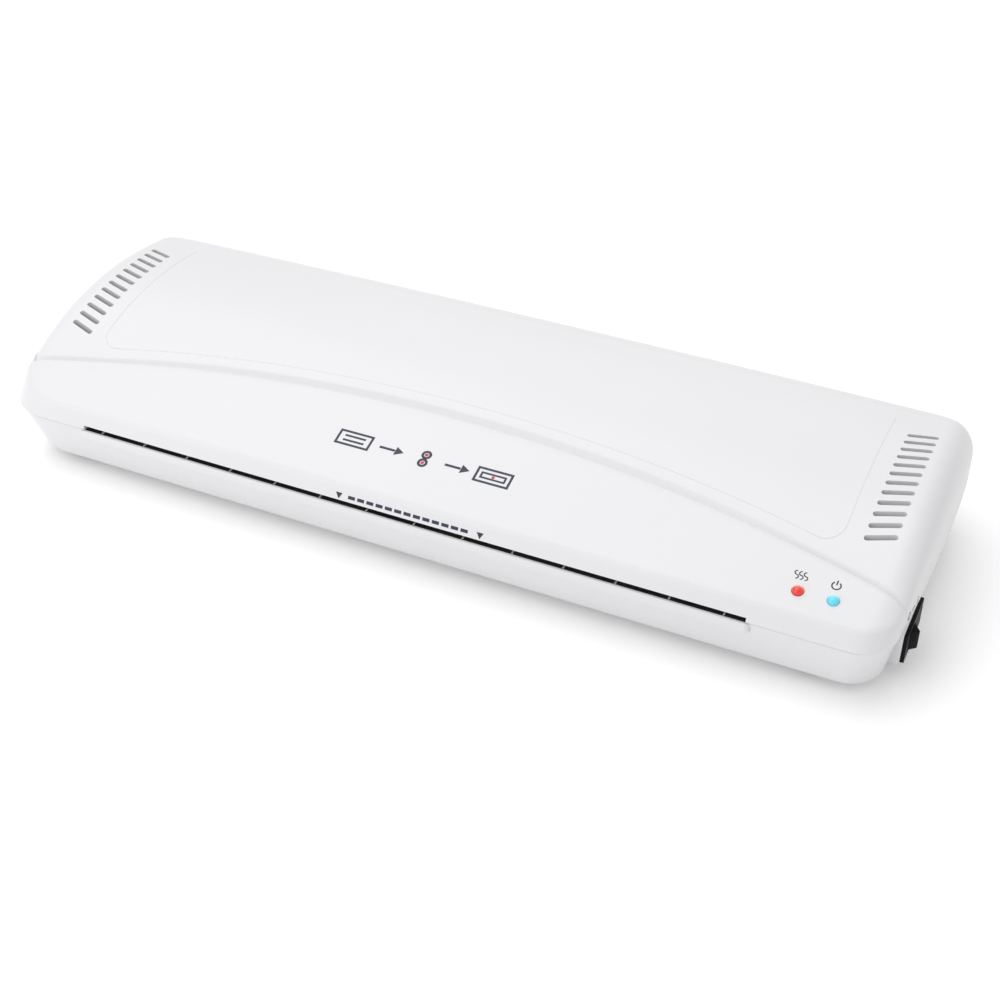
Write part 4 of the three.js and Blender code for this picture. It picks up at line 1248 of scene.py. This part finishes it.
def print_on(strokes, name, material, origin, across, up):
    """Joins strokes and lays them on a surface: across and up are the directions of their axes."""
    mark = joined(strokes, name)
    across = Vector(across).normalized()
    up = Vector(up).normalized()
    out = across.cross(up)
    matrix = Matrix((across, up, out)).transposed().to_4x4()
    lift = out * 0.05 * MM
    mark.data.transform(Matrix.Translation(Vector(origin) + lift) @ matrix)
    finish_piece(mark, material, "chassis", "guide_black")


class LAMINATOR_OT_marks(bpy.types.Operator):
    """Prints the generic pictograms on the deck, the front, the lamps and the switch end"""

    bl_idname = "laminator.marks"
    bl_label = "Printed Marks"

    def execute(self, context):
        self.deck_mark()
        self.front_mark()
        self.lamp_marks()
        self.switch_marks()
        return {"FINISHED"}

    def deck_mark(self):
        """A sheet, an arrow, two rollers, an arrow and a sealed sheet."""
        y = -55 * MM
        origin = (CENTRE_X, y, deck_z(y))
        up = (0, 1, DECK_SLOPE)
        dark = mark_frame(-46, -4.4, -28, 4.4, 1.2)
        dark += [mark_bar((-42.5, 0.8), (-31.5, 1.9)), mark_bar((-42.5, -1.9), (-31.5, -0.8))]
        for x in (-17, 17):
            dark.append(mark_bar((x - 6.5, -0.65), (x + 1.5, 0.65)))
            dark.append(mark_disc(x + 3.2, 0, 2.9, 3, -90))
        dark += [mark_ring(0, 2.4, 1.9, 1.3), mark_ring(0, -2.4, 1.9, 1.3)]
        dark += mark_frame(26, -4.4, 44, 4.4, 1.2) + mark_frame(28.6, -1.9, 41.4, 1.9, 1.0)
        print_on(dark, "deck_mark", ink(), origin, (1, 0, 0), up)
        red = [mark_disc(0, 2.4, 0.9), mark_disc(0, -2.4, 0.9), mark_disc(35, 0, 0.8)]
        print_on(red, "deck_mark_dots", accent_ink(), origin, (1, 0, 0), up)

    def front_mark(self):
        """Two arrows that point down to the slot, with a dashed line between them."""
        height = 35.6 * MM
        lean = Vector((0, CREST_IN, deck_z(FRONT_Y + CREST_IN) - RIM_TOP))
        share = (height - RIM_TOP) / lean.z
        origin = (CENTRE_X + 5 * MM, FRONT_Y + lean.y * share, height)
        strokes = [mark_disc(-36, 0.2, 2, 3, 180), mark_disc(36, 0.2, 2, 3, 180)]
        for step in range(13):
            x = -31.2 + 4.8 * step
            strokes.append(mark_bar((x, -0.8), (x + 3.6, 0.8)))
        print_on(strokes, "front_mark", ink(), origin, (1, 0, 0), lean)

    def lamp_marks(self):
        """Three rising waves for heat, and a broken ring with a bar for power."""
        y = -61.2 * MM
        up = (0, 1, DECK_SLOPE)
        for node in ("heat_lamp_red", "power_lamp_blue"):
            low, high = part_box(node)
            origin = ((low.x + high.x) / 2 - 1 * MM, y, deck_z(y))
            if "red" in node:
                strokes = []
                for x in (-2, 0, 2):
                    strokes.append(mark_ring(x, 1, 1, 0.5, 90, 180))
                    strokes.append(mark_ring(x, -1, 1, 0.5, -90, 180))
            else:
                strokes = [mark_ring(0, -0.3, 1.9, 0.6, 125, 290), mark_bar((-0.3, 0), (0.3, 2.5))]
            print_on(strokes, node + "_mark", ink(), origin, (1, 0, 0), up)

    def switch_marks(self):
        """A bar for on and a ring for off, above the switch."""
        strokes = [mark_ring(-6, 0, 1.7, 0.8), mark_bar((5.5, -2), (6.5, 2))]
        strokes += [mark_bar((-2.2, -0.45), (2.2, 0.45))]
        y = -47 * MM
        ahead = Vector((bow_end(HALF_LENGTH, y + 8 * MM), y + 8 * MM, 0))
        behind = Vector((bow_end(HALF_LENGTH, y - 8 * MM), y - 8 * MM, 0))
        origin = (ahead + behind) / 2 + Vector((0.02 * MM, 0, 34.2 * MM))
        print_on(strokes, "switch_mark", ink(), origin, ahead - behind, (0, 0, 1))


class LAMINATOR_OT_underside(bpy.types.Operator):
    """Builds the four ringed rubber feet and the ribbed gland in the rear wall"""

    bl_idname = "laminator.underside"
    bl_label = "Feet and Gland"

    def execute(self, context):
        low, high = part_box("rubber_foot_1")
        top = FOOT_H - 0.3 * MM
        profile = [(0, 0.5), (2.6, 0.5), (3, 0), (4.8, 0), (5.2, 0.5), (5.8, 0.5), (6.2, 0)]
        profile += [(7, 0), (7.5, 0.2), (7.9, 0.7), (8, 1.2), (8, top / MM - 0.3)]
        profile += [(7.7, top / MM), (0, top / MM)]
        middle = (low + high) / 2
        first = lathe(
            "foot_shape", (middle.x, middle.y, 0), "z",
            [(radius * MM, height * MM) for radius, height in profile], 48,
        )
        for index in range(1, 5):
            foot_low, foot_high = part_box(f"rubber_foot_{index}")
            shift = (foot_low + foot_high) / 2 - middle
            foot = copy_of(first, f"ringed_foot_{index}", Matrix.Translation((shift.x, shift.y, 0)))
            finish_piece(foot, foot_rubber(), "chassis", "foot_rubber", f"rubber_foot_{index}")
        bpy.data.objects.remove(first)

        low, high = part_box("cord_gland")
        base = ((low.x + high.x) / 2, low.y, (low.z + high.z) / 2)
        length = (high.y - low.y) / MM
        profile = [(3.4, 0), (7.5, 0), (7.5, 2.6), (6, 2.6), (6, 7.2)]
        for start in (7.6, 9.2, 10.8):
            profile += [(6, start), (5.9, start + 0.7), (5.2, start + 0.9), (5.2, start + 1.2)]
        chamfer = length - 0.3
        profile += [(5.1, chamfer), (4.8, length), (3.6, length), (3.4, chamfer), (3.4, 0)]
        gland = lathe(
            "ribbed_gland", base, "y",
            [(radius * MM, min(height, length) * MM) for radius, height in profile], 40,
        )
        finish_piece(gland, guide_black(), "chassis", "switch_black", "cord_gland")
        return {"FINISHED"}


class LAMINATOR_OT_springs(bpy.types.Operator):
    """Makes the two pressure springs from welded copies of the frame's springs"""

    bl_idname = "laminator.springs"
    bl_label = "Pressure Springs"

    def execute(self, context):
        for node in ("pressure_spring_left", "pressure_spring_right"):
            name = node.replace("pressure", "coiled")
            coil = bpy.data.objects.new(name, frame["nodes"][node].data.copy())
            coil.data.name = name
            context.scene.collection.objects.link(coil)
            only(coil)
            bpy.ops.object.mode_set(mode="EDIT")
            bpy.ops.mesh.select_all(action="SELECT")
            bpy.ops.mesh.remove_doubles(threshold=0.002 * MM)
            bpy.ops.object.mode_set(mode="OBJECT")
            finish_piece(coil, chassis_steel(), "chassis", "chassis_steel", node, angle=50)
            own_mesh(coil)
        return {"FINISHED"}


class LAMINATOR_OT_stage(bpy.types.Operator):
    """Adds the pale floor, the soft lights and the camera"""

    bl_idname = "laminator.stage"
    bl_label = "Stage"

    def execute(self, context):
        scene = context.scene
        scene.view_settings.view_transform = "Standard"
        bpy.ops.object.select_all(action="DESELECT")
        bpy.ops.mesh.primitive_plane_add(size=14)
        floor = keep_as("floor")
        pale = surface(
            "Pale floor", (0.94, 0.94, 0.94), (0.94, 0.94, 0.94), (0.93, 0.93, 0.93),
            "Mould Grain", 0.9, scale=60.0, bump=0.0, wear=0.0, soil=0.5,
            emission=(1, 1, 1), strength=FLOOR_GLOW,
        )
        floor.data.materials.append(pale)

        world = bpy.data.worlds.new("Studio")
        world.use_nodes = True
        world.node_tree.nodes["Background"].inputs["Color"].default_value = (1, 1, 1, 1)
        world.node_tree.nodes["Background"].inputs["Strength"].default_value = SKY_STRENGTH
        scene.world = world

        for name, place, size, power in LIGHTS:
            lamp = bpy.data.lights.new(name, "AREA")
            lamp.size = size
            lamp.energy = power
            holder = bpy.data.objects.new(name, lamp)
            holder.location = place
            holder.rotation_euler = (-Vector(place)).to_track_quat("-Z", "Y").to_euler()
            scene.collection.objects.link(holder)

        azimuth, elevation = math.radians(CAMERA_AZIMUTH), math.radians(CAMERA_ELEVATION)
        back = Vector((
            math.sin(azimuth) * math.cos(elevation),
            -math.cos(azimuth) * math.cos(elevation),
            math.sin(elevation),
        ))
        right = Vector((math.cos(azimuth), math.sin(azimuth), 0))
        up = back.cross(right)
        camera = bpy.data.cameras.new("Camera")
        camera.lens = CAMERA_LENS
        camera.sensor_width = 36
        camera.clip_start = 0.01
        holder = bpy.data.objects.new("Camera", camera)
        turn = Matrix((right, up, back)).transposed().to_4x4()
        holder.matrix_world = Matrix.Translation(CAMERA_PLACE) @ turn
        scene.collection.objects.link(holder)
        scene.camera = holder
        return {"FINISHED"}


class LAMINATOR_PT_panel(bpy.types.Panel):
    """Lists the pieces in the order in which they are built"""

    bl_label = "Laminator"
    bl_space_type = "VIEW_3D"
    bl_region_type = "UI"
    bl_category = "Laminator"

    def draw(self, context):
        for operator in OPERATORS:
            self.layout.operator(operator.bl_idname)
        for name, group in SETTINGS.items():
            box = self.layout.box()
            for label in group.__annotations__:
                box.prop(settings(name), label)


OPERATORS = (
    LAMINATOR_OT_frame_finishes,
    LAMINATOR_OT_top_shell,
    LAMINATOR_OT_lower_shell,
    LAMINATOR_OT_feed_slot,
    LAMINATOR_OT_lamps,
    LAMINATOR_OT_power_switch,
    LAMINATOR_OT_marks,
    LAMINATOR_OT_underside,
    LAMINATOR_OT_springs,
    LAMINATOR_OT_stage,
)
SETTINGS = {"casing": CasingSettings, "feed": FeedSettings, "controls": ControlSettings}


def register():
    for cls in (*SETTINGS.values(), *OPERATORS, LAMINATOR_PT_panel):
        bpy.utils.register_class(cls)
    for name, group in SETTINGS.items():
        setattr(bpy.types.Scene, "laminator_" + name, PointerProperty(type=group))


def unregister():
    for name in SETTINGS:
        delattr(bpy.types.Scene, "laminator_" + name)
    for cls in reversed((*SETTINGS.values(), *OPERATORS, LAMINATOR_PT_panel)):
        bpy.utils.unregister_class(cls)


def main():
    register()
    for operator in OPERATORS:
        module, name = operator.bl_idname.split(".")
        getattr(getattr(bpy.ops, module), name)()


if __name__ == "__main__":
    main()
